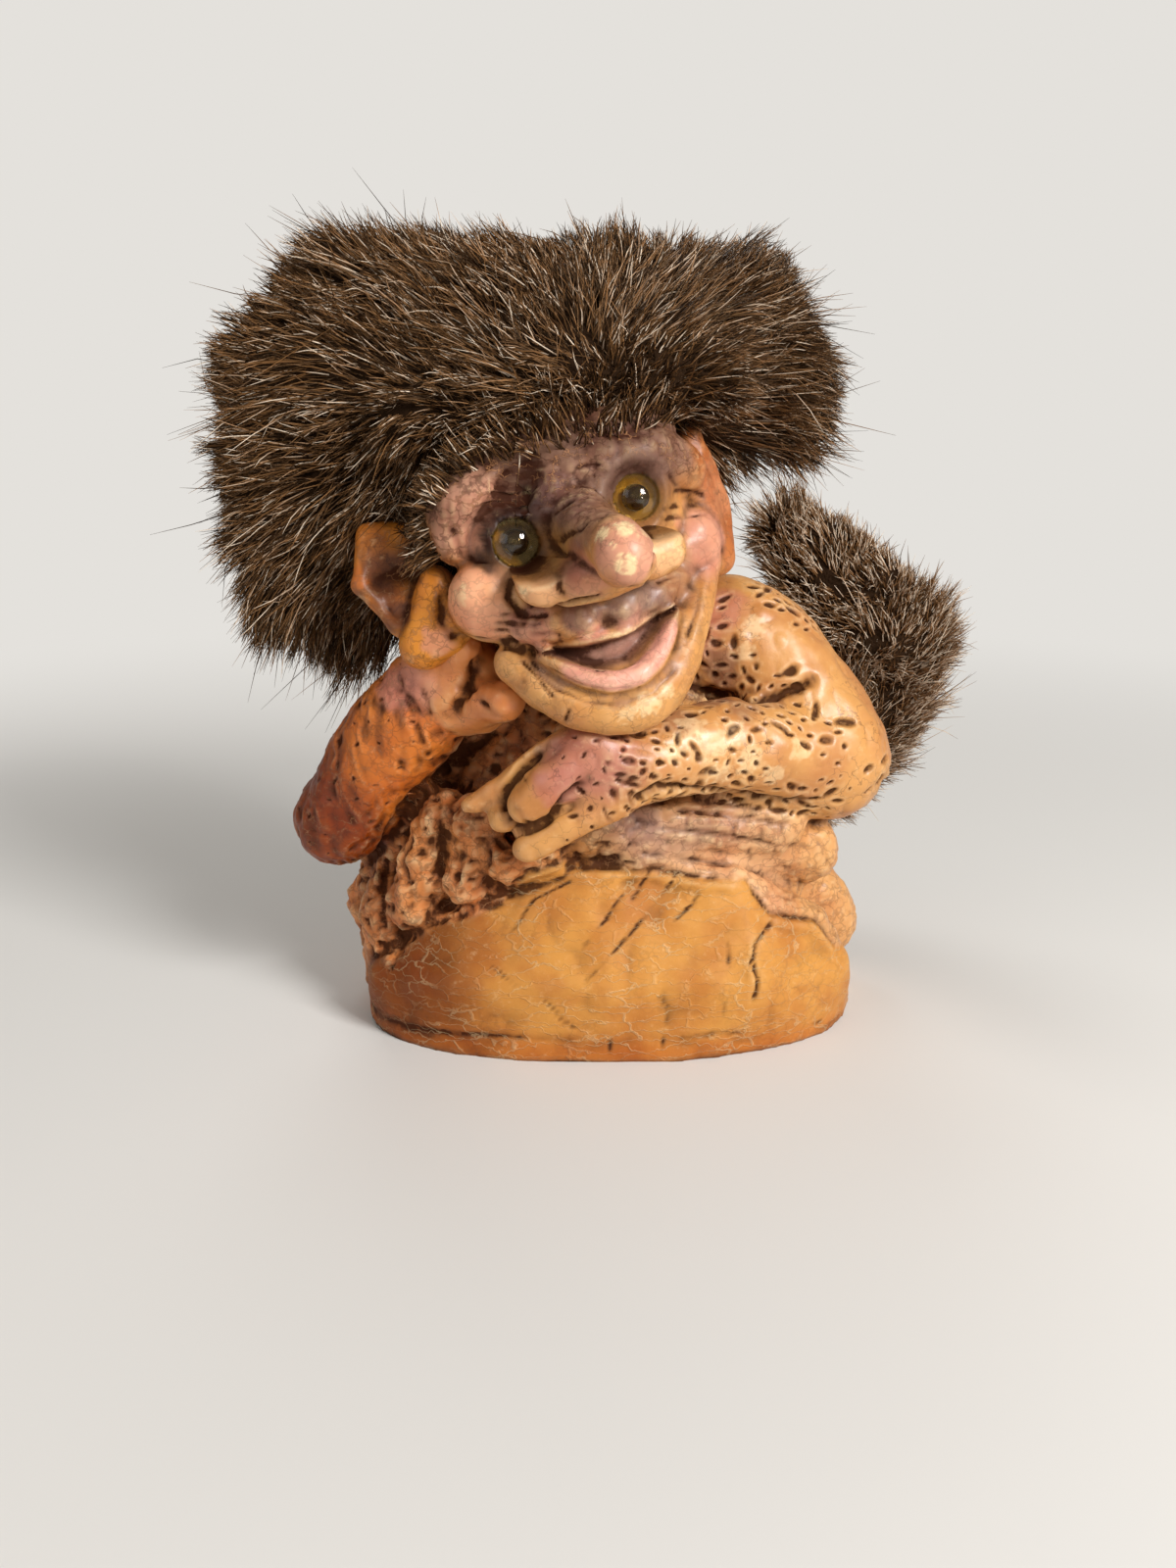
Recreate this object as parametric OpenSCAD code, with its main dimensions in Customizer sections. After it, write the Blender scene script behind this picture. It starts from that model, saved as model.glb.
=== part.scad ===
// Troll figurine resting on a rock: two castings, glass eyes, a fur wig and
// a fur tail that swings on a peg. Millimetres, Z up, the front faces -Y.
// The origin is on the underside of the rock, below the middle of the figure.

/* [Rock] */
// Width of the smooth front of the rock
rock_w = 70; // [60:0.5:84]
// Depth of the rock, front to back
rock_d = 54; // [46:0.5:62]
// Height of the smooth front of the rock
rock_h = 28; // [23:0.5:33]
// Rounding of the rock's upper edges
rock_edge_r = 3; // [2:0.1:4]
// Rounding of the rock at its foot
rock_foot_r = 1.6; // [1:0.1:2.4]

/* [Body] */
// Width of the figure from elbow to elbow
body_w = 80; // [72:0.5:90]
// Depth of the figure from the hands to the back
body_d = 50; // [44:0.5:56]
// Height of the shoulders over the underside
body_h = 60; // [54:0.5:68]
// Thickness of the trunk's rounded masses
trunk_r = 10; // [8:0.1:12]
// Thickness of the left arm at the elbow
left_arm_r = 9; // [7:0.1:10.5]
// Thickness of the right arm at its thickest
right_arm_r = 7.4; // [6:0.1:8.5]
// Thickness of the two palms
palm_r = 5; // [4:0.1:6]
// Thickness of a finger
finger_r = 2; // [1.6:0.1:2.6]

/* [Head] */
// Width of the head across the cheeks
head_w = 40; // [36:0.5:44]
// Depth of the head without the nose
head_d = 40; // [36:0.5:44]
// Height of the head from chin to crown
head_h = 44; // [40:0.5:48]
// How far the head leans over to its right shoulder, in degrees
head_roll = 19; // [12:1:24]
// How far the face turns to its left, in degrees
head_yaw = 14; // [6:1:20]
// Thickness of the skull at its widest
skull_r = 16.5; // [15:0.1:18]
// Thickness of a cheek
cheek_r = 5.2; // [4.2:0.1:6]
// Thickness of the nose at its bulb
nose_r = 4.1; // [3.3:0.1:5]
// Thickness of a brow
brow_r = 3.8; // [3:0.1:4.6]
// Thickness of a lip
lip_r = 1.9; // [1.5:0.1:2.4]
// Thickness of the band round the chin
chin_r = 3; // [2.4:0.1:3.6]
// Thickness of an ear at its lobe
ear_r = 3.4; // [2.8:0.1:4]
// Thickness of the spigot that holds the head to the body
spigot_r = 5; // [4:0.1:6]
// Length of the spigot below the head
spigot_l = 12; // [9:0.5:14]

/* [Eyes] */
// Radius of a glass eye
eye_r = 3; // [2.5:0.1:3.4]
// Distance between the middles of the eyes
eye_gap = 16; // [14:0.1:18]
// Radius of the black pupil inside the glass
pupil_r = 1.5; // [1.2:0.05:1.8]
// Glass in front of the pupil
eye_front_t = 0.5; // [0.3:0.05:0.8]
// Radius of the wire stem of an eye
eye_wire_r = 0.4; // [0.3:0.05:0.6]
// Length of the wire stem of an eye
eye_wire_l = 6; // [4:0.5:7]

/* [Wig] */
// Width of the fur over the head
wig_w = 84; // [76:0.5:92]
// Depth of the fur over the head
wig_d = 40; // [36:0.5:44]
// Height of the fur from its lowest lock to its top
wig_h = 56; // [50:0.5:62]
// Thickness of a lock of the fur
lock_r = 9.2; // [8:0.2:12]
// Thickness of the cloth that the fur grows from
cloth_t = 0.8; // [0.5:0.1:1.2]

/* [Tail] */
// How far the tail reaches out to its side
tail_w = 32; // [28:0.5:36]
// How high the tail reaches over its peg
tail_h = 44; // [38:0.5:50]
// How far the tail's core stands behind its peg's collar
tail_out = 12; // [11.5:0.1:14]
// Thickness of the fur at the tail's middle
tail_r = 14.2; // [12:0.2:16]
// Radius of the cloth sleeve round the tail's wire
sleeve_r = 2; // [1.6:0.1:2.6]
// Radius of the tail's wire
tail_wire_r = 0.7; // [0.5:0.05:1]
// Radius of the peg that the tail swings on
peg_r = 2.5; // [2:0.1:3]
// Length of the peg inside its bush
peg_l = 9; // [7:0.5:11]
// Radius of the peg's collar
collar_r = 4.4; // [3.8:0.1:5]
// Thickness of the peg's collar
collar_t = 1.2; // [1:0.1:2]
// Wall of the bush that the peg turns in
bush_wall = 1.2; // [0.9:0.1:1.6]

/* [Fits] */
// Gap for the lute between glued pieces
lute_gap = 0.1; // [0.05:0.01:0.2]
// Running gap between the peg and its bush
peg_gap = 0.05; // [0.02:0.01:0.09]
// Gap between soft fur and what moves past it
fur_gap = 0.5; // [0.3:0.05:1]

/* [Hidden] */

// Facets of the large masses, of small ones, and of the exact round pieces
big_fn = 18;
small_fn = 10;
wire_fn = 8;
round_fn = 96;

// Overrun of a cut past the face that it opens
over = 1;

// Colours
skin_color = [0.74, 0.47, 0.24];
amber_color = [0.72, 0.47, 0.10];
pupil_color = [0.03, 0.02, 0.02];
steel_color = [0.55, 0.55, 0.56];
cloth_color = [0.13, 0.09, 0.06];
fur_color = [0.16, 0.11, 0.08];
wood_color = [0.55, 0.40, 0.24];

// Places on the rock: shares of half its width, half its depth and its height,
// the foot's on the underside
rock_foot_shares = [
    [-0.94, -0.43], [-0.80, -0.70], [-0.43, -0.88], [-0.07, -0.92], [0.37, -0.88],
    [0.76, -0.69], [0.96, -0.43], [1.00, 0.10], [0.84, 0.56], [-0.84, 0.56], [-0.98, 0.10]
];
rock_face_shares = [
    [-0.57, -0.83, 0.36], [0.00, -0.90, 0.40], [0.57, -0.82, 0.38],
    [-0.88, -0.56, 0.28], [0.93, -0.46, 0.32]
];
rock_top_shares = [
    [-0.74, -0.63, 0.40], [-0.47, -0.68, 0.68], [-0.07, -0.70, 0.87],
    [0.48, -0.68, 0.82], [0.83, -0.50, 0.55], [0.00, 0.37, 0.70]
];

// Places on the body: shares of half its width, half its depth and its
// height, then a share of the thickness of what is drawn
waist_shares = [
    [-0.72, 0.00, 0.15, 0.85], [0.75, 0.08, 0.15, 0.75], [0.62, -0.04, 0.40, 0.65],
    [-0.68, -0.12, 0.45, 0.80], [0.00, -0.36, 0.44, 0.90], [0.00, 0.32, 0.23, 1.00],
    [-0.45, 0.32, 0.20, 0.90], [0.45, 0.32, 0.20, 0.90]
];
chest_shares = [
    [-0.60, 0.00, 0.50, 0.90], [0.58, 0.00, 0.46, 0.80], [-0.38, 0.04, 0.82, 1.00],
    [0.36, -0.08, 0.83, 0.95], [0.00, -0.32, 0.72, 0.90], [0.00, 0.30, 0.66, 1.10]
];
back_shares = [
    [-0.42, 0.28, 0.30, 1.00], [0.42, 0.28, 0.30, 1.00],
    [-0.34, 0.12, 0.78, 1.00], [0.32, 0.08, 0.78, 1.00]
];
hip_shares = [[0.83, 0.08, 0.17, 0.60], [0.76, 0.00, 0.26, 0.55]];
bark_shares = [
    [[-0.80, 0.00, 0.22, 0.65], [-0.72, -0.16, 0.42, 0.60]],
    [[-0.80, -0.28, 0.06, 0.35], [-0.76, -0.40, 0.28, 0.50]],
    [[-0.66, -0.56, 0.32, 0.45], [-0.56, -0.56, 0.52, 0.45]],
    [[-0.46, -0.72, 0.40, 0.36], [-0.42, -0.72, 0.55, 0.36]],
    [[-0.34, -0.84, 0.44, 0.28], [-0.20, -0.84, 0.47, 0.28]]
];
girdle_shares = [
    [[-0.10, -0.72, 0.52, 0.45], [0.55, -0.52, 0.52, 0.60]],
    [[0.10, -0.70, 0.46, 0.45], [0.70, -0.36, 0.42, 0.55]]
];
left_arm_shares = [
    [0.42, -0.24, 0.92, 0.94], [0.53, -0.28, 0.88, 0.97], [0.75, -0.40, 0.68, 1.00],
    [0.73, -0.44, 0.66, 0.97], [0.45, -0.72, 0.71, 0.74], [0.23, -0.92, 0.71, 0.64],
    [0.08, -1.06, 0.70, 0.56]
];
left_palm_shares = [
    [0.08, -1.06, 0.70, 1.00], [-0.06, -1.12, 0.74, 0.78], [-0.03, -1.12, 0.64, 0.74]
];
left_finger_shares = [
    [[-0.13, -1.10, 0.76, 1.00], [-0.28, -1.08, 0.69, 0.85], [-0.44, -1.02, 0.61, 0.80]],
    [[-0.10, -1.16, 0.72, 1.50], [-0.25, -1.18, 0.65, 1.25]],
    [[-0.22, -1.10, 0.63, 1.10], [-0.34, -1.10, 0.59, 1.00]],
    [[0.04, -1.16, 0.64, 1.20], [-0.11, -1.18, 0.59, 1.00], [-0.26, -1.16, 0.53, 0.92]]
];
right_arm_shares = [
    [-0.50, 0.16, 0.84, 1.15], [-0.78, -0.10, 0.62, 0.95], [-0.95, -0.32, 0.51, 0.84],
    [-0.93, -0.40, 0.49, 0.82], [-0.79, -0.44, 0.65, 1.00], [-0.63, -0.58, 0.78, 0.96]
];
right_palm_shares = [
    [-0.60, -0.60, 0.82, 1.30], [-0.43, -0.76, 0.83, 1.05], [-0.50, -0.66, 0.91, 1.00]
];
right_finger_shares = [
    [[-0.43, -0.84, 0.82, 1.60], [-0.32, -1.02, 0.84, 1.30]],
    [[-0.50, -0.76, 0.90, 1.30], [-0.46, -0.88, 0.94, 1.20]],
    [[-0.60, -0.66, 0.88, 1.50], [-0.58, -0.72, 0.95, 1.30]]
];

// Places on the head, in its own axes: shares of half its width, half its
// depth and half its height, then a share of the thickness
skull_mid_share = [-0.02, 0.00, 0.18, 1.00];
skull_shares = [
    [0.00, 0.05, 0.36, 0.80], [-0.15, -0.20, -0.36, 0.72],
    [0.00, 0.25, 0.09, 0.85], [-0.28, -0.34, 0.46, 0.58], [0.20, -0.34, 0.44, 0.56]
];
muzzle_shares = [[-0.15, -0.20, -0.36, 0.70], [-0.18, -0.52, -0.40, 0.55]];
brow_shares = [
    [[-0.83, -0.36, 0.38, 0.85], [-0.75, -0.45, 0.59, 1.05], [-0.42, -0.64, 0.60, 0.95]],
    [[0.20, -0.66, 0.60, 0.95], [0.48, -0.60, 0.50, 0.95], [0.66, -0.48, 0.36, 0.90]],
    [[-0.40, -0.62, 0.72, 1.00], [0.25, -0.62, 0.72, 1.00]]
];
cheek_shares = [
    [[-0.74, -0.46, 0.06, 1.05], [-0.45, -0.40, -0.10, 1.10]],
    [[0.60, -0.48, -0.02, 0.95], [0.35, -0.45, -0.15, 1.00]]
];
nose_shares = [
    [-0.15, -0.62, 0.40, 0.95], [-0.10, -1.05, 0.24, 1.00], [-0.06, -1.44, 0.13, 1.05]
];
nostril_shares = [
    [-0.50, -1.02, 0.10, 0.86], [-0.14, -1.14, 0.06, 0.95], [0.32, -1.06, 0.04, 0.82]
];
upper_lip_shares = [
    [-0.60, -0.70, -0.16, 1.30], [-0.30, -0.90, -0.17, 1.45], [-0.15, -0.95, -0.20, 1.35],
    [0.10, -0.88, -0.23, 1.45], [0.28, -0.70, -0.25, 1.30]
];
lower_lip_shares = [
    [-0.62, -0.78, -0.30, 0.90], [-0.46, -0.94, -0.49, 1.00], [-0.22, -1.02, -0.57, 1.05],
    [0.06, -0.97, -0.54, 1.00], [0.27, -0.82, -0.34, 0.90]
];
chin_shares = [
    [-0.72, -0.58, -0.34, 0.90], [-0.54, -0.80, -0.64, 1.00], [-0.22, -0.90, -0.78, 1.05],
    [0.10, -0.85, -0.70, 1.00], [0.38, -0.66, -0.42, 0.95], [0.62, -0.42, -0.16, 0.90]
];
mouth_shares = [
    [-0.56, -0.92, -0.25, 0.60], [-0.22, -1.04, -0.40, 1.30], [0.22, -0.95, -0.32, 0.60]
];
socket_shares = [[-0.56, -0.86, 0.36, 1.10], [0.27, -0.90, 0.34, 0.95]];
right_ear_shares = [
    [[-0.80, 0.05, 0.45, 0.70], [-1.30, 0.05, 0.60, 0.55], [-1.42, 0.00, 0.36, 0.55]],
    [[-0.80, 0.00, 0.05, 0.70], [-1.42, 0.00, 0.36, 0.55], [-1.32, -0.10, 0.08, 0.55]],
    [[-1.02, -0.15, 0.22, 0.80], [-1.24, -0.22, -0.08, 0.95], [-1.08, -0.28, -0.06, 0.90]]
];
left_ear_shares = [
    [[0.84, -0.25, 0.50, 0.60], [0.94, 0.10, 0.55, 0.55], [0.90, 0.15, 0.10, 0.55]],
    [[0.84, -0.25, 0.50, 0.60], [0.88, -0.22, 0.10, 0.65], [0.76, -0.32, -0.20, 0.75]]
];

// Middle of the head: shares of half the body's width and depth, and of its
// height
head_share = [-0.06, -0.48, 1.10];
eye_share = [-0.13, -0.66, 0.33];

// Places in the fur: shares of half its width, depth and height, then a
// share of a lock's thickness. The fan goes from the lowest lock on the right
// side of the head, over the top, to the left side.
wig_share = [-0.24, -0.08, 1.40];
fan_shares = [
    [[-0.25, 0.20, -0.45, 0.90], [-0.60, 0.10, -0.80, 0.75], [-0.64, 0.02, -1.10, 0.40]],
    [[-0.25, -0.10, -0.36, 1.00], [-0.74, -0.20, -0.52, 0.85], [-0.86, -0.28, -0.86, 0.50]],
    [[-0.20, -0.10, -0.14, 1.10], [-0.82, -0.18, -0.24, 0.95]],
    [[-0.20, -0.15, 0.14, 1.15], [-0.82, -0.10, 0.22, 1.00]],
    [[-0.10, -0.20, 0.30, 1.20], [-0.60, 0.10, 0.62, 1.00]],
    [[0.05, -0.10, 0.38, 1.25], [-0.22, 0.20, 0.66, 0.98]],
    [[0.20, -0.10, 0.38, 1.15], [0.20, 0.20, 0.66, 0.98]],
    [[0.40, -0.10, 0.32, 1.10], [0.68, 0.25, 0.60, 0.98]],
    [[0.48, 0.00, 0.14, 1.00], [0.83, 0.20, 0.22, 0.80], [0.90, 0.15, -0.12, 0.42]]
];
fringe_shares = [
    [-0.36, -0.68, 0.00, 0.76], [0.12, -0.90, 0.17, 0.80], [0.52, -0.56, 0.20, 0.76],
    [-0.20, -0.15, 0.14, 1.15], [0.05, -0.10, 0.38, 1.25], [0.40, -0.10, 0.32, 1.10]
];
temple_shares = [[-0.34, -0.50, -0.14, 0.70], [-0.52, -0.60, -0.46, 0.52], [-0.25, -0.10, -0.36, 1.00]];
nape_shares = [
    [[-0.60, 0.22, 0.32, 1.00], [-0.04, 0.44, 0.34, 1.10], [0.50, 0.28, 0.30, 0.92],
     [-0.42, 0.36, -0.38, 0.90], [0.08, 0.42, -0.42, 1.00], [0.44, 0.34, -0.36, 0.82]],
    [[-0.42, 0.36, -0.38, 0.90], [0.08, 0.42, -0.42, 1.00], [0.44, 0.34, -0.36, 0.82],
     [-0.36, 0.36, -0.70, 0.58], [0.04, 0.44, -0.82, 0.65], [0.34, 0.36, -0.66, 0.52]]
];
// Lowest edge of the fur round the head, in the head's own axes
hairline_shares = [
    [-1.10, -0.80, 0.76], [1.10, -0.80, 0.60], [1.10, 1.20, -0.45], [-1.10, 1.20, -0.45]
];

// Places of the tail: shares of its width, of how far it stands out behind
// and of its height, then a share of the fur's thickness
tail_share = [0.35, 0.80, 0.37];
tail_shares = [
    [0.00, 0.55, 0.00, 0.28], [0.25, 0.90, -0.10, 0.44], [0.62, 1.00, 0.02, 0.68],
    [0.90, 1.00, 0.30, 0.92], [1.00, 1.00, 0.56, 1.00], [0.78, 1.00, 0.80, 0.76],
    [0.50, 1.00, 1.00, 0.48]
];
fur_flat_share = 0.72;

function spot(s) = [s[0] * body_w / 2, s[1] * body_d / 2, s[2] * body_h];
function stone(s) = [s[0] * rock_w / 2, s[1] * rock_d / 2, s[2] * rock_h];
function face(s) = [s[0] * head_w / 2, s[1] * head_d / 2, s[2] * head_h / 2];
function fur(s) = spot(wig_share) + [s[0] * wig_w / 2, s[1] * wig_d / 2, s[2] * wig_h / 2];
function tail(s) = tail_root + [s[0] * tail_w, s[1] * tail_out, s[2] * tail_h];

head_place = spot(head_share);
tail_root = spot(tail_share);
eye_mid = face(eye_share);
bush_r = peg_r + peg_gap + bush_wall;
pupil_back = eye_r - eye_front_t - pupil_r;
sleeve_start = tail_root + [0, collar_t + sleeve_r + lute_gap, 0];
sleeve_places = concat([sleeve_start], [for (s = tail_shares) tail(s)]);
wire_places = concat([tail_root + [0, tail_wire_r - collar_t, 0]], sleeve_places);

module ball(place, r, fn = big_fn) {
    translate(place) sphere(r = r, $fn = fn);
}

// One rounded mass over all of its places
module body_mass(shares, r, grow = 0) {
    hull() for (s = shares) ball(spot(s), s[3] * r + grow);
}

// A rounded run from each place to the next
module body_run(shares, r, grow = 0, fn = big_fn) {
    for (i = [0 : len(shares) - 2])
        hull() {
            ball(spot(shares[i]), shares[i][3] * r + grow, fn);
            ball(spot(shares[i + 1]), shares[i + 1][3] * r + grow, fn);
        }
}

module face_run(shares, r, grow = 0, fn = small_fn) {
    for (i = [0 : len(shares) - 2])
        hull() {
            ball(face(shares[i]), shares[i][3] * r + grow, fn);
            ball(face(shares[i + 1]), shares[i + 1][3] * r + grow, fn);
        }
}

module place_head() {
    translate(head_place) rotate([0, -head_roll, 0]) rotate([0, 0, head_yaw]) children();
}

// The axis of an eye, pointing out of the face along its own +Z
module place_eye(side) {
    place_head()
        translate(eye_mid + [side * eye_gap / 2, 0, 0]) rotate([90, 0, 0]) children();
}

module skull(grow) {
    for (s = skull_shares)
        hull() {
            ball(face(skull_mid_share), skull_mid_share[3] * skull_r + grow);
            ball(face(s), s[3] * skull_r + grow);
        }
}

module ear(shares, grow) {
    for (wing = shares)
        hull() for (s = wing) ball(face(s), s[3] * ear_r + grow, small_fn);
}

// The solid head with nothing cut out of it
module head_form(grow) {
    skull(grow);
    face_run(muzzle_shares, skull_r, grow, big_fn);
    for (s = brow_shares) face_run(s, brow_r, grow);
    for (s = cheek_shares) face_run(s, cheek_r, grow, big_fn);
    face_run(nose_shares, nose_r, grow);
    face_run(nostril_shares, nose_r, grow);
    face_run(upper_lip_shares, lip_r, grow);
    face_run(lower_lip_shares, lip_r, grow);
    face_run(chin_shares, chin_r, grow);
    ear(right_ear_shares, grow);
    ear(left_ear_shares, grow);
}

// The spigot under the head, straight down into the body
module spigot(grow) {
    translate(head_place - [0, 0, head_h / 2 + spigot_l / 2])
        cylinder(r = spigot_r + grow, h = head_h / 2 + spigot_l / 2 + grow, $fn = big_fn);
}

// Everything of an eye that its socket has to leave room for
module eye_room(grow) {
    sphere(r = eye_r + grow, $fn = big_fn);
    translate([0, 0, -eye_wire_l - grow])
        cylinder(r = eye_wire_r + grow, h = eye_wire_l + grow, $fn = small_fn);
}

// Along the peg, from a distance behind the collar's outer face
module behind_tail_root(distance) {
    translate(tail_root + [0, distance, 0]) rotate([-90, 0, 0]) children();
}

module body_form() {
    behind_tail_root(-collar_t - peg_l - collar_r)
        cylinder(r1 = peg_l, r2 = collar_r + lute_gap, h = peg_l + collar_r, $fn = big_fn);
    hull() {
        for (s = rock_foot_shares) ball(stone([s[0], s[1], 0]), rock_foot_r, small_fn);
        for (s = concat(rock_face_shares, rock_top_shares)) ball(stone(s), rock_edge_r, small_fn);
    }
    body_mass(waist_shares, trunk_r);
    body_mass(chest_shares, trunk_r);
    body_mass(back_shares, trunk_r);
    body_run(hip_shares, trunk_r);
    for (s = bark_shares) body_run(s, trunk_r, fn = small_fn);
    for (s = girdle_shares) body_run(s, trunk_r, fn = small_fn);
    body_run(left_arm_shares, left_arm_r);
    body_mass(left_palm_shares, palm_r);
    for (s = left_finger_shares) body_run(s, finger_r, fn = small_fn);
    body_run(right_arm_shares, right_arm_r);
    body_mass(right_palm_shares, palm_r);
    for (s = right_finger_shares) body_run(s, finger_r, fn = small_fn);
}

module body_casting() {
    color(skin_color)
        difference() {
            body_form();
            place_head() head_form(lute_gap);
            spigot(lute_gap);
            behind_tail_root(-collar_t - peg_l - peg_gap)
                cylinder(r = bush_r + lute_gap, h = body_d, $fn = round_fn);
            behind_tail_root(-collar_t) cylinder(r = collar_r + fur_gap, h = body_d, $fn = round_fn);
            translate([-body_w, -body_d, -body_h]) cube([2 * body_w, 2 * body_d, body_h]);
        }
}

module head_casting() {
    color(skin_color)
        difference() {
            union() {
                place_head() head_form(0);
                spigot(0);
            }
            place_head() face_run(mouth_shares, lip_r);
            place_head() for (s = socket_shares) hull() ball(face(s), s[3] * eye_r, small_fn);
            for (side = [-1, 1]) place_eye(side) eye_room(lute_gap);
        }
}

// An amber dome, flat behind, with the pupil's pocket opening at the back
module eye_glass(side) {
    color(amber_color)
        place_eye(side)
            difference() {
                sphere(r = eye_r, $fn = round_fn);
                translate([-eye_r, -eye_r, -2 * eye_r]) cube([2 * eye_r, 2 * eye_r, 2 * eye_r]);
                translate([0, 0, pupil_back]) sphere(r = pupil_r, $fn = round_fn);
                translate([0, 0, -over])
                    cylinder(r = pupil_r, h = over + pupil_back, $fn = round_fn);
            }
}

module eye_pupil(side) {
    color(pupil_color)
        place_eye(side)
            difference() {
                union() {
                    translate([0, 0, pupil_back]) sphere(r = pupil_r, $fn = round_fn);
                    cylinder(r = pupil_r, h = pupil_back, $fn = round_fn);
                }
                translate([-eye_r, -eye_r, -2 * eye_r]) cube([2 * eye_r, 2 * eye_r, 2 * eye_r]);
            }
}

module eye_wire(side) {
    color(steel_color)
        place_eye(side)
            translate([0, 0, -eye_wire_l]) cylinder(r = eye_wire_r, h = eye_wire_l, $fn = round_fn);
}

// The half of space behind and above the hairline
module hair_side() {
    hull()
        for (s = hairline_shares)
            for (up = [0, head_h])
                translate(face(s) + [0, 0, up]) sphere(r = lute_gap, $fn = small_fn);
}

module wig_backing() {
    color(cloth_color)
        difference() {
            place_head()
                intersection() {
                    skull(cloth_t);
                    hair_side();
                }
            place_head() {
                skull(lute_gap / 2);
                for (s = brow_shares) face_run(s, brow_r, lute_gap);
                ear(right_ear_shares, lute_gap);
                ear(left_ear_shares, lute_gap);
            }
            fur_neighbours(lute_gap);
        }
}

// A mass of fur over all of its places
module fur_mass(shares) {
    hull() for (s = shares) ball(fur(s), s[3] * lock_r);
}

module wig_pile() {
    color(fur_color)
        difference() {
            union() {
                for (i = [0 : len(fan_shares) - 2]) fur_mass(concat(fan_shares[i], fan_shares[i + 1]));
                for (s = nape_shares) fur_mass(s);
                fur_mass(fringe_shares);
                fur_mass(temple_shares);
            }
            place_head() skull(cloth_t + lute_gap / 2);
            place_head() head_form(lute_gap);
            fur_neighbours(fur_gap);
        }
}

// The parts of the body that the fur hangs beside
module fur_neighbours(grow) {
    body_mass(chest_shares, trunk_r, grow);
    body_mass(back_shares, trunk_r, grow);
    body_run(left_arm_shares, left_arm_r, grow);
    body_run(right_arm_shares, right_arm_r, grow);
    body_mass(right_palm_shares, palm_r, grow);
}

module tail_socket() {
    color(wood_color)
        difference() {
            behind_tail_root(-collar_t - peg_l) cylinder(r = bush_r, h = peg_l, $fn = round_fn);
            behind_tail_root(-collar_t - peg_l - over)
                cylinder(r = peg_r + peg_gap, h = peg_l + 2 * over, $fn = round_fn);
        }
}

// The peg with its collar, and a hole in its outer end for the tail's wire
module tail_peg() {
    color(wood_color)
        difference() {
            union() {
                behind_tail_root(-collar_t - peg_l)
                    cylinder(r = peg_r, h = peg_l + 2 * collar_t, $fn = round_fn);
                behind_tail_root(peg_gap - collar_t)
                    cylinder(r = collar_r, h = collar_t - peg_gap, $fn = round_fn);
            }
            behind_tail_root(-collar_t) cylinder(r = tail_wire_r, h = 3 * collar_t, $fn = round_fn);
        }
}

module tube_run(places, r) {
    for (i = [0 : len(places) - 2])
        hull() {
            ball(places[i], r, wire_fn);
            ball(places[i + 1], r, wire_fn);
        }
}

module tail_wire() {
    color(steel_color) tube_run(wire_places, tail_wire_r);
}

module tail_backing() {
    color(cloth_color)
        difference() {
            tube_run(sleeve_places, sleeve_r);
            tube_run(wire_places, tail_wire_r + lute_gap);
        }
}

module tail_pile() {
    color(fur_color)
        difference() {
            for (i = [0 : len(tail_shares) - 2])
                hull()
                    for (s = [tail_shares[i], tail_shares[i + 1]])
                        translate(tail(s)) scale([1, fur_flat_share, 1])
                            sphere(r = s[3] * tail_r, $fn = big_fn);
            tube_run(sleeve_places, sleeve_r + lute_gap);
        }
}

body_casting();
head_casting();
eye_glass(1);  // left_eye_glass
eye_glass(-1);  // right_eye_glass
eye_pupil(1);  // left_eye_pupil
eye_pupil(-1);  // right_eye_pupil
eye_wire(1);  // left_eye_wire
eye_wire(-1);  // right_eye_wire
wig_backing();
wig_pile();
tail_socket();
tail_peg();
tail_wire();
tail_backing();
tail_pile();
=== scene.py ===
import copy
import math

import bmesh
import bpy
import numpy as np
from mathutils import Matrix, Vector
from mathutils.bvhtree import BVHTree
from mathutils.kdtree import KDTree


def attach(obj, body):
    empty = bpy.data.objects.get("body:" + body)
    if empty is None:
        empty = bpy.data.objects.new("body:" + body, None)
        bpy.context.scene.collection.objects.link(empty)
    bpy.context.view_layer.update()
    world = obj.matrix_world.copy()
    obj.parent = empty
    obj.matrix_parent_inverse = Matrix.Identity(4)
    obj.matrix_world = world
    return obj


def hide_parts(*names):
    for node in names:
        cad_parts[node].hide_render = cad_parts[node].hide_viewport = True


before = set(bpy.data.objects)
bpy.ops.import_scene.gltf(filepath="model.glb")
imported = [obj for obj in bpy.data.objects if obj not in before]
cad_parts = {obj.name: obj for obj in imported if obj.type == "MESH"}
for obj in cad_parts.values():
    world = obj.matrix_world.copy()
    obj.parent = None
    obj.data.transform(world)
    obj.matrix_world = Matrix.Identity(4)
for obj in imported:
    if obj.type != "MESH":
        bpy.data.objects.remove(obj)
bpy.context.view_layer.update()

# The figure is carved in millimetres, and each finished piece is brought to metres
MM = 0.001

# The photograph's frame in pixels, its focal length in pixels, and where it was taken from
PHOTO_W, PHOTO_H, PHOTO_FOCUS = 1200, 1600, 1386
CAMERA_PLACE = Vector((-2.5, -194.3, 87.8))
CAMERA_PITCH = math.radians(16)
CAMERA_AHEAD = Vector((0, math.cos(CAMERA_PITCH), -math.sin(CAMERA_PITCH)))
CAMERA_UP = Vector((0, math.sin(CAMERA_PITCH), math.cos(CAMERA_PITCH)))
SENSOR = 36

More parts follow.
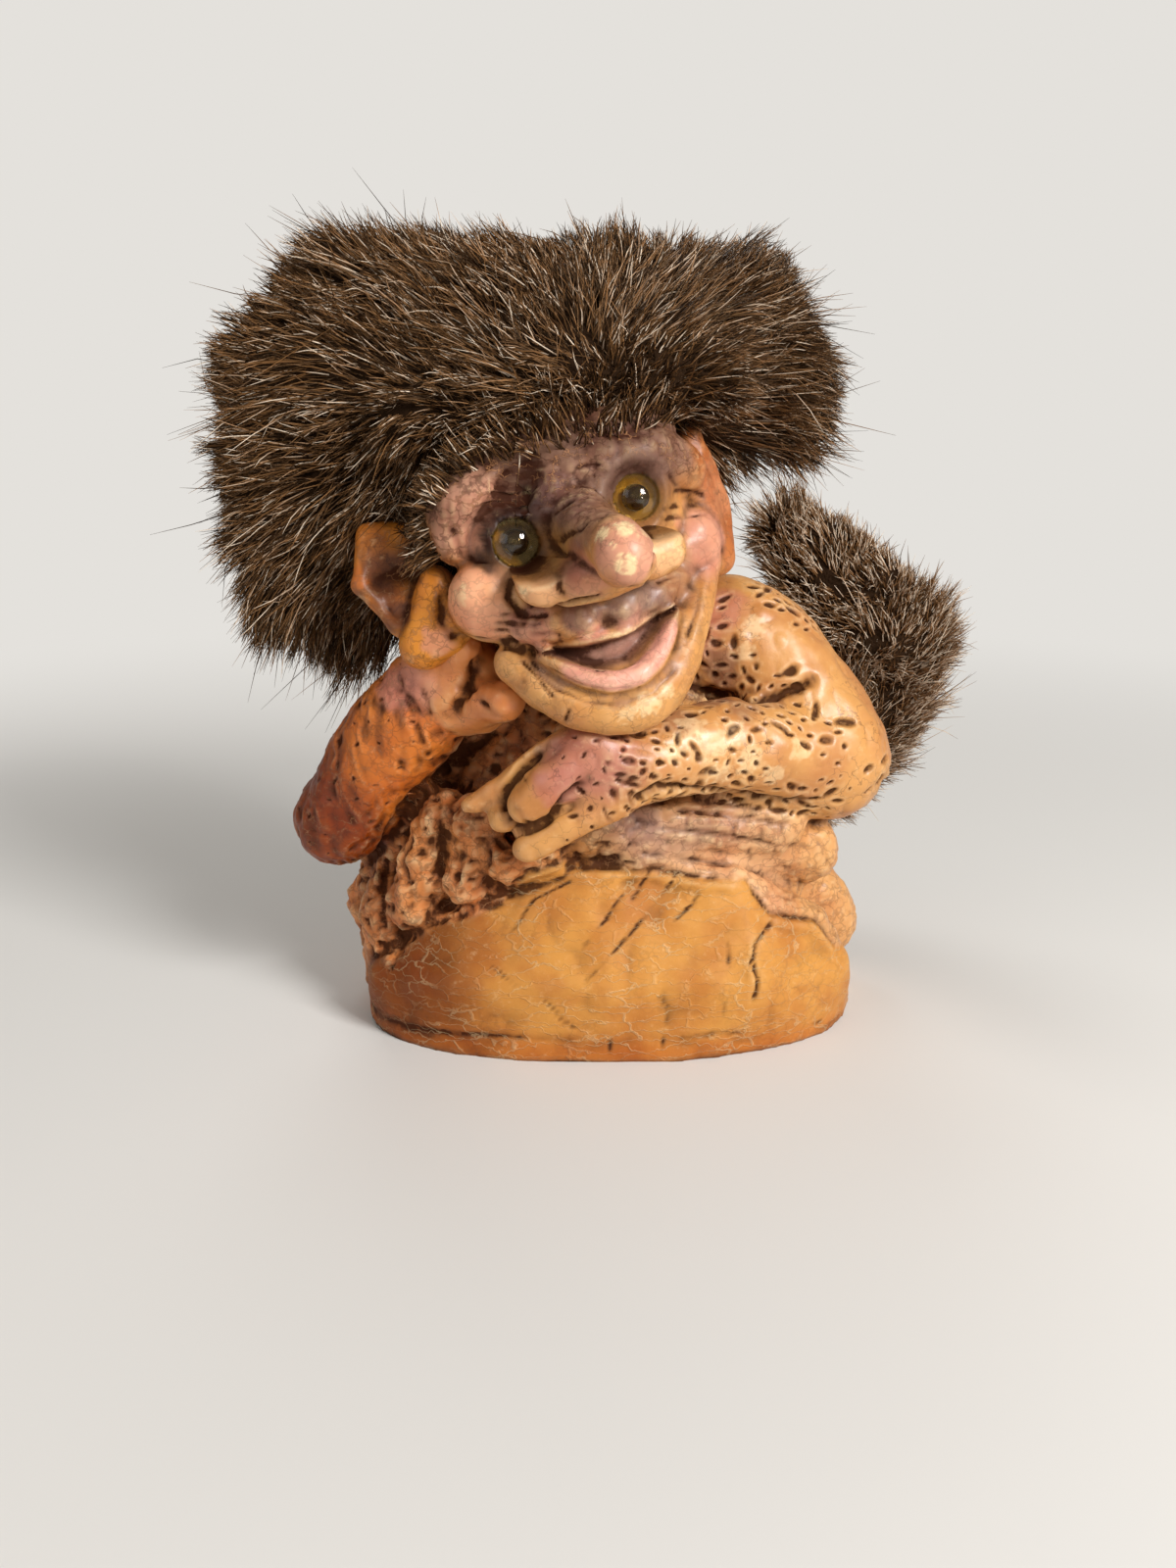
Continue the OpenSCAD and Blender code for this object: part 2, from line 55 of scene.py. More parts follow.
# The head's own axes: its middle, its lean and its turn
HEAD_PLACE = Vector((-2.4, -12, 66))
HEAD_ROLL, HEAD_YAW = math.radians(19), math.radians(14)
HEAD = (Matrix.Translation(HEAD_PLACE) @ Matrix.Rotation(-HEAD_ROLL, 4, "Y")
        @ Matrix.Rotation(HEAD_YAW, 4, "Z"))
HEAD_MIDDLE, HEAD_TURN = np.array(HEAD_PLACE), np.array(HEAD.to_3x3())
EYE_R = 3
LID_RISE = 1.3
EYES = [Vector((-10.6, -13.2, 7.26)), Vector((5.4, -13.2, 7.26))]

# Masses of the body: x, y, z and radius of each rounded place
ROCK_FOOT = [
    (-32.9, -11.6), (-28, -18.9), (-15, -23.8), (-2.5, -24.8), (13, -23.8), (26.6, -18.6),
    (33.6, -11.6), (35, 2.7), (29.4, 15.1), (-29.4, 15.1), (-34.3, 2.7),
]
ROCK_FOOT_R, ROCK_EDGE_R = 1.6, 3
ROCK_UPPER = [
    (-20, -22.4, 10.1), (0, -24.3, 11.2), (20, -22.1, 10.6), (-30.8, -15.1, 7.8),
    (32.6, -12.4, 9), (-25.9, -17, 11.2), (-16.5, -18.4, 19), (-2.5, -18.9, 24.4),
    (16.8, -18.4, 23), (29, -13.5, 15.4), (0, 10, 19.6),
]
TRUNK = [
    [(-28.8, 0, 9, 8.5), (30, 2, 9, 7.5), (24.8, -1, 24, 6.5), (-27.2, -3, 27, 8),
     (0, -9, 26.4, 9), (0, 8, 13.8, 10), (-18, 8, 12, 9), (18, 8, 12, 9)],
    [(-24, 0, 30, 9), (23.2, 0, 27.6, 8), (-15.2, 1, 49.2, 10), (14.4, -2, 49.8, 9.5),
     (0, -8, 43.2, 9), (0, 7.5, 39.6, 11)],
    [(-16.8, 7, 18, 10), (16.8, 7, 18, 10), (-13.6, 3, 46.8, 10), (12.8, 2, 46.8, 10)],
]
HIP = [(33.2, 2, 10.2, 6), (30.4, 0, 15.6, 5.5)]
BARK = [
    [(-32, 0, 13.2, 6.5), (-28.8, -4, 25.2, 6)],
    [(-32, -7, 3.6, 3.5), (-30.4, -10, 16.8, 5)],
    [(-26.4, -14, 19.2, 4.5), (-22.4, -14, 31.2, 4.5)],
    [(-18.4, -18, 24, 3.6), (-16.8, -18, 33, 3.6)],
    [(-13.6, -21, 26.4, 2.8), (-8, -21, 28.2, 2.8)],
]
GIRDLE = [
    [(-4, -18, 31.2, 4.5), (22, -13, 31.2, 6)],
    [(4, -17.5, 27.6, 4.5), (28, -9, 25.2, 5.5)],
]
LEFT_ARM = [
    (16.8, -6, 55.2, 8.5), (21.2, -7, 52.8, 8.7), (30, -10, 40.8, 9), (29.2, -11, 39.6, 8.7),
    (18, -18, 42.6, 6.7), (9.2, -23, 42.6, 5.8), (3.2, -26.5, 42, 5),
]
LEFT_PALM = [(3.2, -26.5, 42, 5), (-2.4, -28, 44.4, 3.9), (-1.2, -28, 38.4, 3.7)]
LEFT_FINGERS = [
    [(-5.2, -27.5, 45.6, 2), (-11.2, -27, 41.4, 1.7), (-17.6, -25.5, 36.6, 1.6)],
    [(-3.4, -29, 43, 3.2), (-8, -29.6, 39.8, 2.9), (-10.4, -29.3, 37.6, 2.5)],
    [(-8.8, -27.5, 37.8, 2.2), (-13.6, -27.5, 35.4, 2)],
    [(1.6, -29, 38.4, 2.4), (-4.4, -29.5, 35.4, 2), (-10.4, -29, 31.8, 1.84)],
]
RIGHT_ARM = [
    (-20, 4, 50.4, 8.5), (-31.2, -2.5, 37.2, 7), (-38, -8, 30.6, 6.2), (-37.2, -10, 29.4, 6.1),
    (-31.6, -11, 39, 7.4), (-25.2, -14.5, 46.8, 7.1),
]
RIGHT_PALM = [(-24, -15, 49.2, 6.5), (-17.2, -19, 49.8, 5.25), (-20, -16.5, 54.6, 5)]
RIGHT_FINGERS = [
    [(-17.2, -21, 49.2, 3.2), (-12.8, -25.5, 50.4, 2.6)],
    [(-20, -19, 54, 2.6), (-18.4, -22, 56.4, 2.4)],
    [(-24, -16.5, 52.8, 3), (-23.2, -18, 57, 2.6)],
]

# Masses of the head, in its own axes
SKULL_HEART = (-0.4, 0, 4, 16.5)
SKULL = [
    (0, 1, 8, 13.2), (-3, -4, -8, 11.9), (0, 5, 2, 14), (-5.6, -6.8, 10.1, 9.6),
    (4, -6.8, 9.7, 9.2),
]
UPPER_LIP = [
    (-12, -13.4, -3.2, 2.6), (-6.4, -17, -3.3, 2.5), (-3.4, -17.3, -3.8, 2.2),
    (0, -17, -4.2, 2.5), (5.4, -13.6, -4.6, 2.4), (9.2, -10.8, -3.6, 2.2),
]
FACE_RUNS = [
    # the muzzle
    [(-3, -4, -8, 11.5), (-3.6, -10.4, -8.8, 9.1)],
    # the brow plate, and the brow on the other side
    [(-16.3, -7.2, 9.4, 3.4), (-15, -9, 13, 4), (-11, -11.4, 13.6, 3.6)],
    [(3, -13, 13.2, 3.4), (9.6, -12, 11.4, 3.4), (13.2, -9.6, 8.4, 3.2)],
    # the cheeks
    [(-15, -9.2, 1.4, 5.5), (-9, -8, -2.2, 5.7)],
    [(11.6, -8.3, -0.6, 4.6), (7, -8.6, -3.3, 5)],
    # the nose and its wings
    [(-3, -12.4, 8.4, 3.9), (-2.5, -20.5, 5.3, 3.9), (-2, -27.6, 4, 3.55), (-1.9, -29, 2.5, 3.6)],
    [(-10.3, -20.6, 2.4, 3.1), (-6.6, -21.8, 1.1, 2.9), (-2.4, -22.4, 1.2, 3.5),
     (4.5, -21.4, 0.9, 2.9)],
    # the lips, and the fold under them
    UPPER_LIP,
    [(-12.4, -15.6, -6.2, 1.2), (-9.2, -18.8, -10.3, 1.25), (-4.4, -20.4, -12.2, 1.35),
     (0.8, -19.2, -11.1, 1.25), (4.8, -16.2, -7.2, 1.1)],
    [(-10, -16.6, -11.6, 1.3), (-4.6, -18.8, -14, 1.4), (1.6, -17.6, -12.8, 1.3),
     (6, -14.8, -8.2, 1.2)],
    # the left temple
    [(13.2, -8, 8.6, 3), (14.6, -6.6, 3.4, 3), (14, -7.2, -1.2, 3)],
    # the chin
    [(-15.4, -11.4, -6.9, 2.7), (-11.4, -15.6, -13.1, 3), (-4.8, -17.6, -16.4, 3.1),
     (1.8, -16.4, -14.8, 3), (7.6, -13, -9, 2.8), (12.6, -8.4, -3.5, 2.7)],
]
FOREHEAD = [
    (-13, -8.6, 13.5, 4), (-7, -10.6, 16, 4), (3, -11.4, 16, 4), (10, -10, 13.5, 3.8),
    (8, -12.4, 11.8, 2.8), (0, -13.2, 12.6, 2.6),
]
RIGHT_EAR = [
    [(-16, 1, 9.9, 2.4), (-26, 1, 13.2, 1.9), (-28.4, 0, 7.9, 1.9)],
    [(-16, 0, 1.1, 2.4), (-28.4, 0, 7.9, 1.9), (-26.4, -2, 1.8, 1.9)],
    [(-20.4, -3, 4.8, 2.7), (-24.8, -4.4, -1.8, 3.2), (-21.6, -5.6, -1.3, 3.1)],
]
LEFT_EAR = [
    [(16.8, -5, 11, 2), (18.8, 2, 12.1, 1.9), (18, 3, 2.2, 1.9)],
    [(16.8, -5, 11, 2), (17.6, -4.4, 2.2, 2.2), (15.2, -6.4, -4.4, 2.55)],
]

# Locks of the wig, from the lowest on one side over the top to the other side,
# and its fringe, temple and nape
FAN = [
    [(-20.1, 2, 71.4, 8.3), (-34.8, 0, 61.6, 6.9), (-36.5, -1.6, 53.2, 3.7)],
    [(-20.1, -4, 73.9, 9.2), (-40.7, -6, 69.4, 7.8), (-45.7, -7.6, 59.9, 4.6)],
    [(-18, -4, 80.1, 10.1), (-44, -5.6, 77.3, 8.7)],
    [(-18, -5, 87.9, 10.6), (-44, -4, 90.2, 9.2)],
    [(-13.8, -6, 92.4, 11), (-34.8, 0, 99.8, 9.2)],
    [(-7.5, -4, 94.6, 11.5), (-18.8, 2, 100.5, 9)],
    [(-1.2, -4, 94.6, 10.6), (-1.2, 2, 100.3, 9)],
    [(7.2, -4, 93, 10.1), (19, 3, 99.6, 9)],
    [(10.6, -2, 87.9, 9.2), (25.3, 2, 90.2, 7.4), (28.2, 1, 80.6, 3.9)],
]
FRINGE = [(-24.7, -15.6, 84, 7), (-4.6, -20, 88.8, 7.4), (12.2, -13.2, 89.6, 7)]
TEMPLE = [(-23.9, -12, 80.1, 6.4), (-31.4, -14, 71.1, 4.8)]
NAPE_TOP = [(-34.8, 2.4, 93, 9.2), (-11.3, 6.8, 93.5, 10.1), (11.4, 3.6, 92.4, 8.5)]
NAPE_MIDDLE = [(-27.2, 5.2, 73.4, 8.3), (-6.2, 6.4, 72.2, 9.2), (8.9, 4.8, 73.9, 7.5)]
NAPE_HEM = [(-24.7, 5.2, 64.4, 5.3), (-7.9, 6.8, 61, 6), (4.7, 5.2, 65.5, 4.8)]
WIG_HEART = np.array((-8, 0, 76))
TAIL = [
    (14, 26.6, 22.2, 4), (22, 30.8, 17.8, 6.2), (33.8, 32, 23.1, 9.7), (42.8, 32, 35.4, 13.1),
    (46, 32, 46.8, 14.2), (39, 32, 57.4, 10.8), (30, 32, 66.2, 6.8),
]
TAIL_FLAT = 0.72

# Sizes of the skins' faces: the shape that the body's skin is drawn on to, the two castings
# and the fur
SHAPE_VOXEL, BODY_VOXEL, HEAD_VOXEL, FUR_VOXEL = 0.5, 1.03, 0.34, 1.2
# The most pits that are scattered at a time
MOST_PITS = 420

# Fur: how far its shaded felt, its roots and its outer form lie from the measured masses
# The felt is a dark shell in the pile: it stands for the dense fibres, and is painted shade deep
# among them
SHADED_FELT_DEPTH, ROOT_DEPTH, FUR_RISE = 2.2, 1.2, 0.4
WIG_SEED, WIG_FIBRES, HAIRLINE_FIBRES, WIG_PARTS = 77, 40000, 2800, 6
TAIL_SEED, TAIL_FIBRES, TAIL_PARTS = 78, 14000, 2
WIG_FIBRE_R, TAIL_FIBRE_R = 0.098, 0.105
WIG_DROOP, TAIL_DROOP = 0.1, 0.08
WIG_LENGTHS, TAIL_LENGTHS = (4.0, 13.0), (3.5, 12.0)
LEAST_LENGTH, STRAY_REACH = 3.3, 9
TUFT_SIZE, FIBRE_STEPS = 22, 5
# A random draw from 0 to 1 over these makes a fibre a guard hair, a stray or a pale one with a
# painted glint
GUARD_OVER, STRAY_OVER, GLINT_OVER = 0.85, 0.98, 0.93

# Each light's name, place, width and power, in metres and watts
LIGHTS = [
    ("key", (0.34, -0.38, 0.34), 0.20, 3.9),
    ("fill", (-0.42, -0.34, 0.24), 0.4, 0.55),
    ("back", (-0.12, 0.42, 0.42), 0.3, 0.9),
]
LIGHT_AIM = Vector((0, 0, 0.05))
# How far the floor goes, and where it turns into the backdrop, in metres
FLOOR_REACH, FLOOR_FADE = 3, (0.1, 0.36)
STUDIO_POWER = 0.3

# The values of each point that the casting's material reads beside its paint
PAINT_LAYERS = ("wash", "worn", "slab", "stain")


def linear(screen):
    """Linear colour of a screen colour written as rrggbb."""
    parts = [int(screen[i:i + 2], 16) / 255 for i in (0, 2, 4)]
    return [c / 12.92 if c <= 0.04045 else ((c + 0.055) / 1.055) ** 2.4 for c in parts]


OCHRE = linear("cf9350")
ROCK_OCHRE = linear("cb8d43")
BURNT = linear("b66222")
PINK = linear("d49078")
ROSE = linear("c57f6c")
MAUVE = linear("8a6358")
GREY_MAUVE = linear("8f6d5e")
PLUM = linear("6a4742")
WASH = linear("351608")
# painted shade for the deep hollow round the eye beside the brow plate
SOCKET_SHADE = linear("210d05")
AMBER_SEAT = linear("94803e")
FOLD_LINE = linear("c28a5e")
# painted shade for the sides turned away from the light
PAINTED_SIDE_SHADE = linear("843600")
GIRDLE_TONE = linear("e2ac7c")
CREAM = linear("f0cf9c")
LOBE = linear("d4862c")
PLATE = linear("cd967a")
MOUTH = linear("b08070")
SHADED_SEAT = linear("1c1007")
NOSE_SHADE = linear("9c5a40")
SIDE_BAND = linear("aa5828")
HAND_ROSE = linear("b06c58")
HAND_GLOW = linear("ea8040")
ARM_TONE = linear("da731b")
BARK_TONE = linear("e88a4c")
# the wings' own pale ochre, brightened further as painted light
WING_AND_HIGHLIGHT = linear("fcc68e")
EAR_HOLLOW = linear("74401e")
LIP = linear("f0ac98")
CHEEK = linear("f2ac84")
FUR_ROOT = linear("120b06")
FUR_DARK = linear("28170b")
FUR_LIGHT = linear("976b42")
FUR_GLINT = linear("ecd8c0")
FUR_SHEEN = linear("e0b68c")
FLOOR_TONE = linear("dcd9d4")
BACKDROP = linear("e4e1dc")
STUDIO_LIGHT = linear("f3efe9")


def soft_step(x, low, high):
    """Rises smoothly from 0 at low to 1 at high."""
    t = np.clip((x - low) / (high - low), 0, 1)
    return t * t * (3 - 2 * t)


def lumps(points, size, seed):
    """Smooth random heights from -1 to 1, with lumps about that size."""
    cells = 32
    table = np.random.default_rng(seed).uniform(-1, 1, (cells, cells, cells))
    place = points / size
    cell = np.floor(place).astype(int)
    part = place - cell
    part = part * part * (3 - 2 * part)
    height = np.zeros(len(points))
    for corner in np.ndindex(2, 2, 2):
        weight = np.ones(len(points))
        for axis in range(3):
            weight *= part[:, axis] if corner[axis] else 1 - part[:, axis]
        index = (cell + corner) % cells
        height += weight * table[index[:, 0], index[:, 1], index[:, 2]]
    return height


def head_axes(points):
    """Points in the head's own axes."""
    return (points - HEAD_MIDDLE) @ HEAD_TURN


def from_head_axes(own):
    return own @ HEAD_TURN.T + HEAD_MIDDLE


def placed(name, data):
    """A new object with that data, in the scene."""
    made = bpy.data.objects.new(name, data)
    bpy.context.scene.collection.objects.link(made)
    return made


def read_values(items, label, width, kind=np.float32):
    """What all items of a mesh hold under a label, as rows of that many numbers."""
    values = np.zeros(len(items) * width, kind)
    items.foreach_get(label, values)
    return values.reshape(-1, width)


def store(mesh, label, values):
    """Keeps a value for every point of a mesh, for its material to read."""
    layer = mesh.attributes.new(label, "FLOAT", "POINT")
    layer.data.foreach_set("value", values.astype(np.float32))


def skin_tree(mesh):
    """The faces of a mesh, for rays and nearest places."""
    faces = [tuple(p.vertices) for p in mesh.polygons]
    return BVHTree.FromPolygons([v.co for v in mesh.vertices], faces)


# The camera

def make_camera():
    data = bpy.data.cameras.new("camera")
    data.sensor_width = SENSOR
    data.lens = SENSOR * PHOTO_FOCUS / PHOTO_H
    data.clip_start = 0.01
    camera = placed("camera", data)
    camera.location = CAMERA_PLACE * MM
    camera.rotation_euler = (math.pi / 2 - CAMERA_PITCH, 0, 0)
    bpy.context.scene.camera = camera


def photo_ray(px, py):
    """Direction from the camera through a pixel of the photograph."""
    across, down = (px - PHOTO_W / 2) / PHOTO_FOCUS, (py - PHOTO_H / 2) / PHOTO_FOCUS
    return (CAMERA_AHEAD + Vector((across, 0, 0)) - CAMERA_UP * down).normalized()


# Masses

def mesh_of(name, bm):
    mesh = bpy.data.meshes.new(name)
    bm.to_mesh(mesh)
    bm.free()
    return mesh


def hull_of(places):
    """A rounded mass over some places, each x, y, z and radius."""
    bm = bmesh.new()
    for x, y, z, r in places:
        spot = Matrix.Translation((x, y, z))
        bmesh.ops.create_icosphere(bm, subdivisions=3, radius=r, matrix=spot)
    bmesh.ops.delete(bm, geom=bm.edges[:], context="EDGES_FACES")
    wrapped = bmesh.ops.convex_hull(bm, input=bm.verts[:])
    inner = [v for v in wrapped["geom_interior"] if isinstance(v, bmesh.types.BMVert)]
    bmesh.ops.delete(bm, geom=inner, context="VERTS")
    return mesh_of("mass", bm)


def pairs(run):
    """The stretches of a run, from each place to the next."""
    return [run[i:i + 2] for i in range(len(run) - 1)]


def curved(run, steps=3):
    """A run with places added along a smooth curve through its own."""
    spots = np.array([run[0], *run, run[-1]], float)
    made = []
    for i in range(1, len(spots) - 2):
        before, start, end, after = spots[i - 1:i + 3]
        for t in np.arange(steps) / steps:
            made.append(0.5 * (2 * start + (end - before) * t
                               + (2 * before - 5 * start + 4 * end - after) * t ** 2
                               + (3 * start - before - 3 * end + after) * t ** 3))
    made.append(spots[-2])
    return [tuple(place) for place in made]


def joined(masses, move=None):
    """One object that holds all the masses, which may overlap."""
    bm = bmesh.new()
    for places in masses:
        mesh = hull_of(places)
        bm.from_mesh(mesh)
        bpy.data.meshes.remove(mesh)
    if move is not None:
        bmesh.ops.transform(bm, matrix=move, verts=bm.verts[:])
    return placed("masses", mesh_of("masses", bm))


def settle(made):
    """Applies an object's modifiers to its mesh."""
    graph = bpy.context.evaluated_depsgraph_get()
    mesh = bpy.data.meshes.new_from_object(made.evaluated_get(graph))
    made.modifiers.clear()
    old, made.data = made.data, mesh
    bpy.data.meshes.remove(old)
    return made


def soften(made, rounds):
    smooth = made.modifiers.new("soften", "SMOOTH")
    smooth.factor = 0.5
    smooth.iterations = rounds


def fused(masses, voxel, rounds, move=None):
    """One skin over all the masses, softened where they meet."""
    made = joined(masses, move)
    remesh = made.modifiers.new("skin", "REMESH")
    remesh.mode = "VOXEL"
    remesh.voxel_size = voxel
    if rounds:
        soften(made, rounds)
    return settle(made)


def refine(made, chosen):
    """Splits the faces whose middle and normal are chosen, for finer carving."""
    bm = bmesh.new()
    bm.from_mesh(made.data)
    bm.normal_update()
    middles = np.array([f.calc_center_median() for f in bm.faces])
    normals = np.array([f.normal for f in bm.faces])
    picked = chosen(middles, normals)
    edges = {e for f, use in zip(bm.faces, picked) if use for e in f.edges}
    bmesh.ops.subdivide_edges(bm, edges=list(edges), cuts=1, use_grid_fill=True)
    bm.to_mesh(made.data)
    bm.free()


def run_distance(points, a, b):
    """Distance of points to the stretch between two places, less its radius."""
    a, b = np.array(a, float), np.array(b, float)
    along = b[:3] - a[:3]
    share = np.clip((points - a[:3]) @ along / max(along @ along, 1e-9), 0, 1)
    radius = a[3] + share * (b[3] - a[3])
    return np.linalg.norm(points - a[:3] - share[:, None] * along, axis=1) - radius


def near_run(points, run):
    """Least distance of points to the skin of a run."""
    return np.min([run_distance(points, a, b) for a, b in pairs(run)], axis=0)


def beside(points, runs, low, high):
    """1 at the skin of some runs, falling to 0 away from it."""
    return 1 - soft_step(np.min([near_run(points, run) for run in runs], axis=0), low, high)


class Carving:
    """A skin in millimetres that is carved and painted point by point."""

    def __init__(self, made, base):
        self.made, self.mesh = made, made.data
        self.points = read_values(self.mesh.vertices, "co", 3).astype(float)
        self.ends = read_values(self.mesh.edges, "vertices", 2, np.int32)
        count = len(self.points)
        self.paint = np.tile(base, (count, 1))
        self.wash, self.worn, self.slab, self.stain = np.zeros((4, count))
        self.uneven = lumps(self.points, 1.3, 90)
        self.read_normals()
        self.tree = skin_tree(self.mesh)

    @property
    def x(self):
        return self.points[:, 0]

    @property
    def y(self):
        return self.points[:, 1]

    @property
    def z(self):
        return self.points[:, 2]

    def read_normals(self):
        self.mesh.vertices.foreach_set("co", self.points.astype(np.float32).ravel())
        self.mesh.update()
        self.normals = read_values(self.mesh.vertex_normals, "vector", 3).astype(float)

    def touch(self, px, py):
        """The place of the skin that a pixel of the photograph shows."""
        return np.array(self.tree.ray_cast(CAMERA_PLACE, photo_ray(px, py))[0])

    def from_pixel(self, px, py):
        """Distance of every point to the place that a pixel shows."""
        return np.linalg.norm(self.points - self.touch(px, py), axis=1)

    def from_line(self, pixels):
        """Distance of every point to a line drawn on the photograph."""
        return near_run(self.points, [(*self.touch(px, py), 0) for px, py in pixels])

    def lift(self, height):
        self.points += self.normals * height[:, None]

    def groove(self, pixels, width, depth, wash):
        """Cuts a groove along a line, or raises a ridge where depth is below 0."""
        away = self.from_line(pixels) / (width * (1 + 0.3 * self.uneven))
        ends = np.minimum(self.from_pixel(*pixels[0]), self.from_pixel(*pixels[-1]))
        fade = 0.25 + 0.75 * soft_step(ends, 0, 3 * width)
        shape = np.exp(-away * away) * fade * (1 + 0.35 * self.uneven)
        self.lift(-depth * shape)
        self.wash += wash * shape * (0.75 + 0.25 * self.uneven)

    def grooves(self, table):
        for width, depth, wash, *lines in table:
            for pixels in lines:
                self.groove(pixels, width, depth, wash)
        self.read_normals()

    def swell(self, px, py, radius, height):
        """Raises a round bump, or sinks a hollow where height is below 0."""
        away = self.from_pixel(px, py) / radius
        self.lift(height * np.exp(-away * away))

    def crumple(self, size, height, mask, seed):
        """Crinkles the skin into facets with creases between them."""
        self.lift(height * mask * (np.abs(lumps(self.points, size, seed)) - 0.3))

    def tint(self, color, mask):
        mask = np.clip(mask, 0, 1)[:, None]
        self.paint = self.paint * (1 - mask) + np.array(color) * mask

    def patch(self, px, py, radius, ragged, inner, outer):
        """1 round the place that a pixel shows, falling to 0 at a ragged edge."""
        away = self.from_pixel(px, py) + ragged * radius
        return 1 - soft_step(away, radius * inner, radius * outer)

    def spot(self, px, py, radius, color, strength):
        """Paints a soft-edged spot."""
        ragged = 0.35 * lumps(self.points, radius / 2, 7)
        self.tint(color, strength * self.patch(px, py, radius, ragged, 0.6, 1.25))

    def rub_and_highlight(self, px, py, radius, strength):
        """Pales a spot to cream, as rubbed paint and painted highlight."""
        ragged = 0.5 * lumps(self.points, radius / 3, 11)
        self.worn += strength * self.patch(px, py, radius, ragged, 0.7, 1.1)

    def clean(self, px, py, radius, strength):
        """Wipes the dark wash off round a spot."""
        self.wash *= 1 - strength * self.patch(px, py, radius, 0.4 * self.uneven, 0.6, 1.2)

    def pits(self, allowed, gap, sizes, depths, seed, wash=0.9, rim=0.0):
        """Scatters small pits where the mask allows, at least a gap apart."""
        rng = np.random.default_rng(seed)
        order = rng.permutation(np.nonzero(allowed > rng.uniform(0, 1, len(allowed)))[0])
        centres = []
        for index in order:
            if len(centres) > MOST_PITS:
                break
            place = self.points[index]
            if all(np.dot(place - c, place - c) > gap * gap for c in centres):
                centres.append(place)
        before, facing = self.points.copy(), self.normals
        for place in centres:
            size = sizes[0] + (sizes[1] - sizes[0]) * rng.uniform(0, 1) ** 2.2
            depth = rng.uniform(*depths)
            # A pit is drawn out along a direction of its own, mostly across the figure
            stretch = rng.normal(0, 1, 3) * (2.4, 1, 0.7)
            stretch /= np.linalg.norm(stretch)
            close = np.nonzero(np.abs(before - place).max(axis=1) < 2.5 * size)[0]
            offset = before[close] - place
            round_part = (offset ** 2).sum(axis=1) - 0.82 * (offset @ stretch) ** 2
            away = np.sqrt(np.maximum(round_part, 0)) / size
            away *= 1 + 0.55 * self.uneven[close]
            shape = 1 - soft_step(away, 0.3, 1.1)
            self.points[close] -= facing[close] * (depth * shape)[:, None]
            self.wash[close] += wash * shape
            self.worn[close] += rim * soft_step(away, 0.9, 1.2) * (1 - soft_step(away, 1.3, 2.1))

    def neighbour_mean(self, values):
        total = np.zeros_like(values)
        count = np.zeros(len(self.points))
        for a, b in ((0, 1), (1, 0)):
            np.add.at(total, self.ends[:, a], values[self.ends[:, b]])
            np.add.at(count, self.ends[:, a], 1)
        return total / np.maximum(count, 1)[:, None]

    def hollows(self, rounds):
        """How far each point lies under its softened neighbourhood."""
        soft = self.points
        for _ in range(rounds):
            soft = self.neighbour_mean(soft)
        return ((soft - self.points) * self.normals).sum(axis=1)

    def finish(self, name, slot, material, *nodes):
        """Hands the painted carving over as a piece of the figure."""
        self.points[:, 2] = np.maximum(self.z, 0)
        self.read_normals()
        self.made.name = name
        rgba = np.ones((len(self.points), 4), np.float32)
        rgba[:, :3] = self.paint
        paint = self.mesh.attributes.new("paint", "FLOAT_COLOR", "POINT")
        paint.data.foreach_set("color", rgba.ravel())
        for label in PAINT_LAYERS:
            store(self.mesh, label, np.clip(getattr(self, label), 0, 1))
        dress(self.made, material, "figure", slot, *nodes)


def dress(made, material, body, slot, *nodes):
    """Brings a shell to metres, with its finish and its place."""
    made.data.transform(Matrix.Scale(MM, 4))
    made.data.materials.clear()
    made.data.materials.append(material)
    made.data.shade_smooth()
    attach(made, body)
    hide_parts(*nodes)


def finish_node(name, material):
    """Gives a carried-over node its finish."""
    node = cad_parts[name]
    node.data.materials.clear()
    node.data.materials.append(material)


# Materials

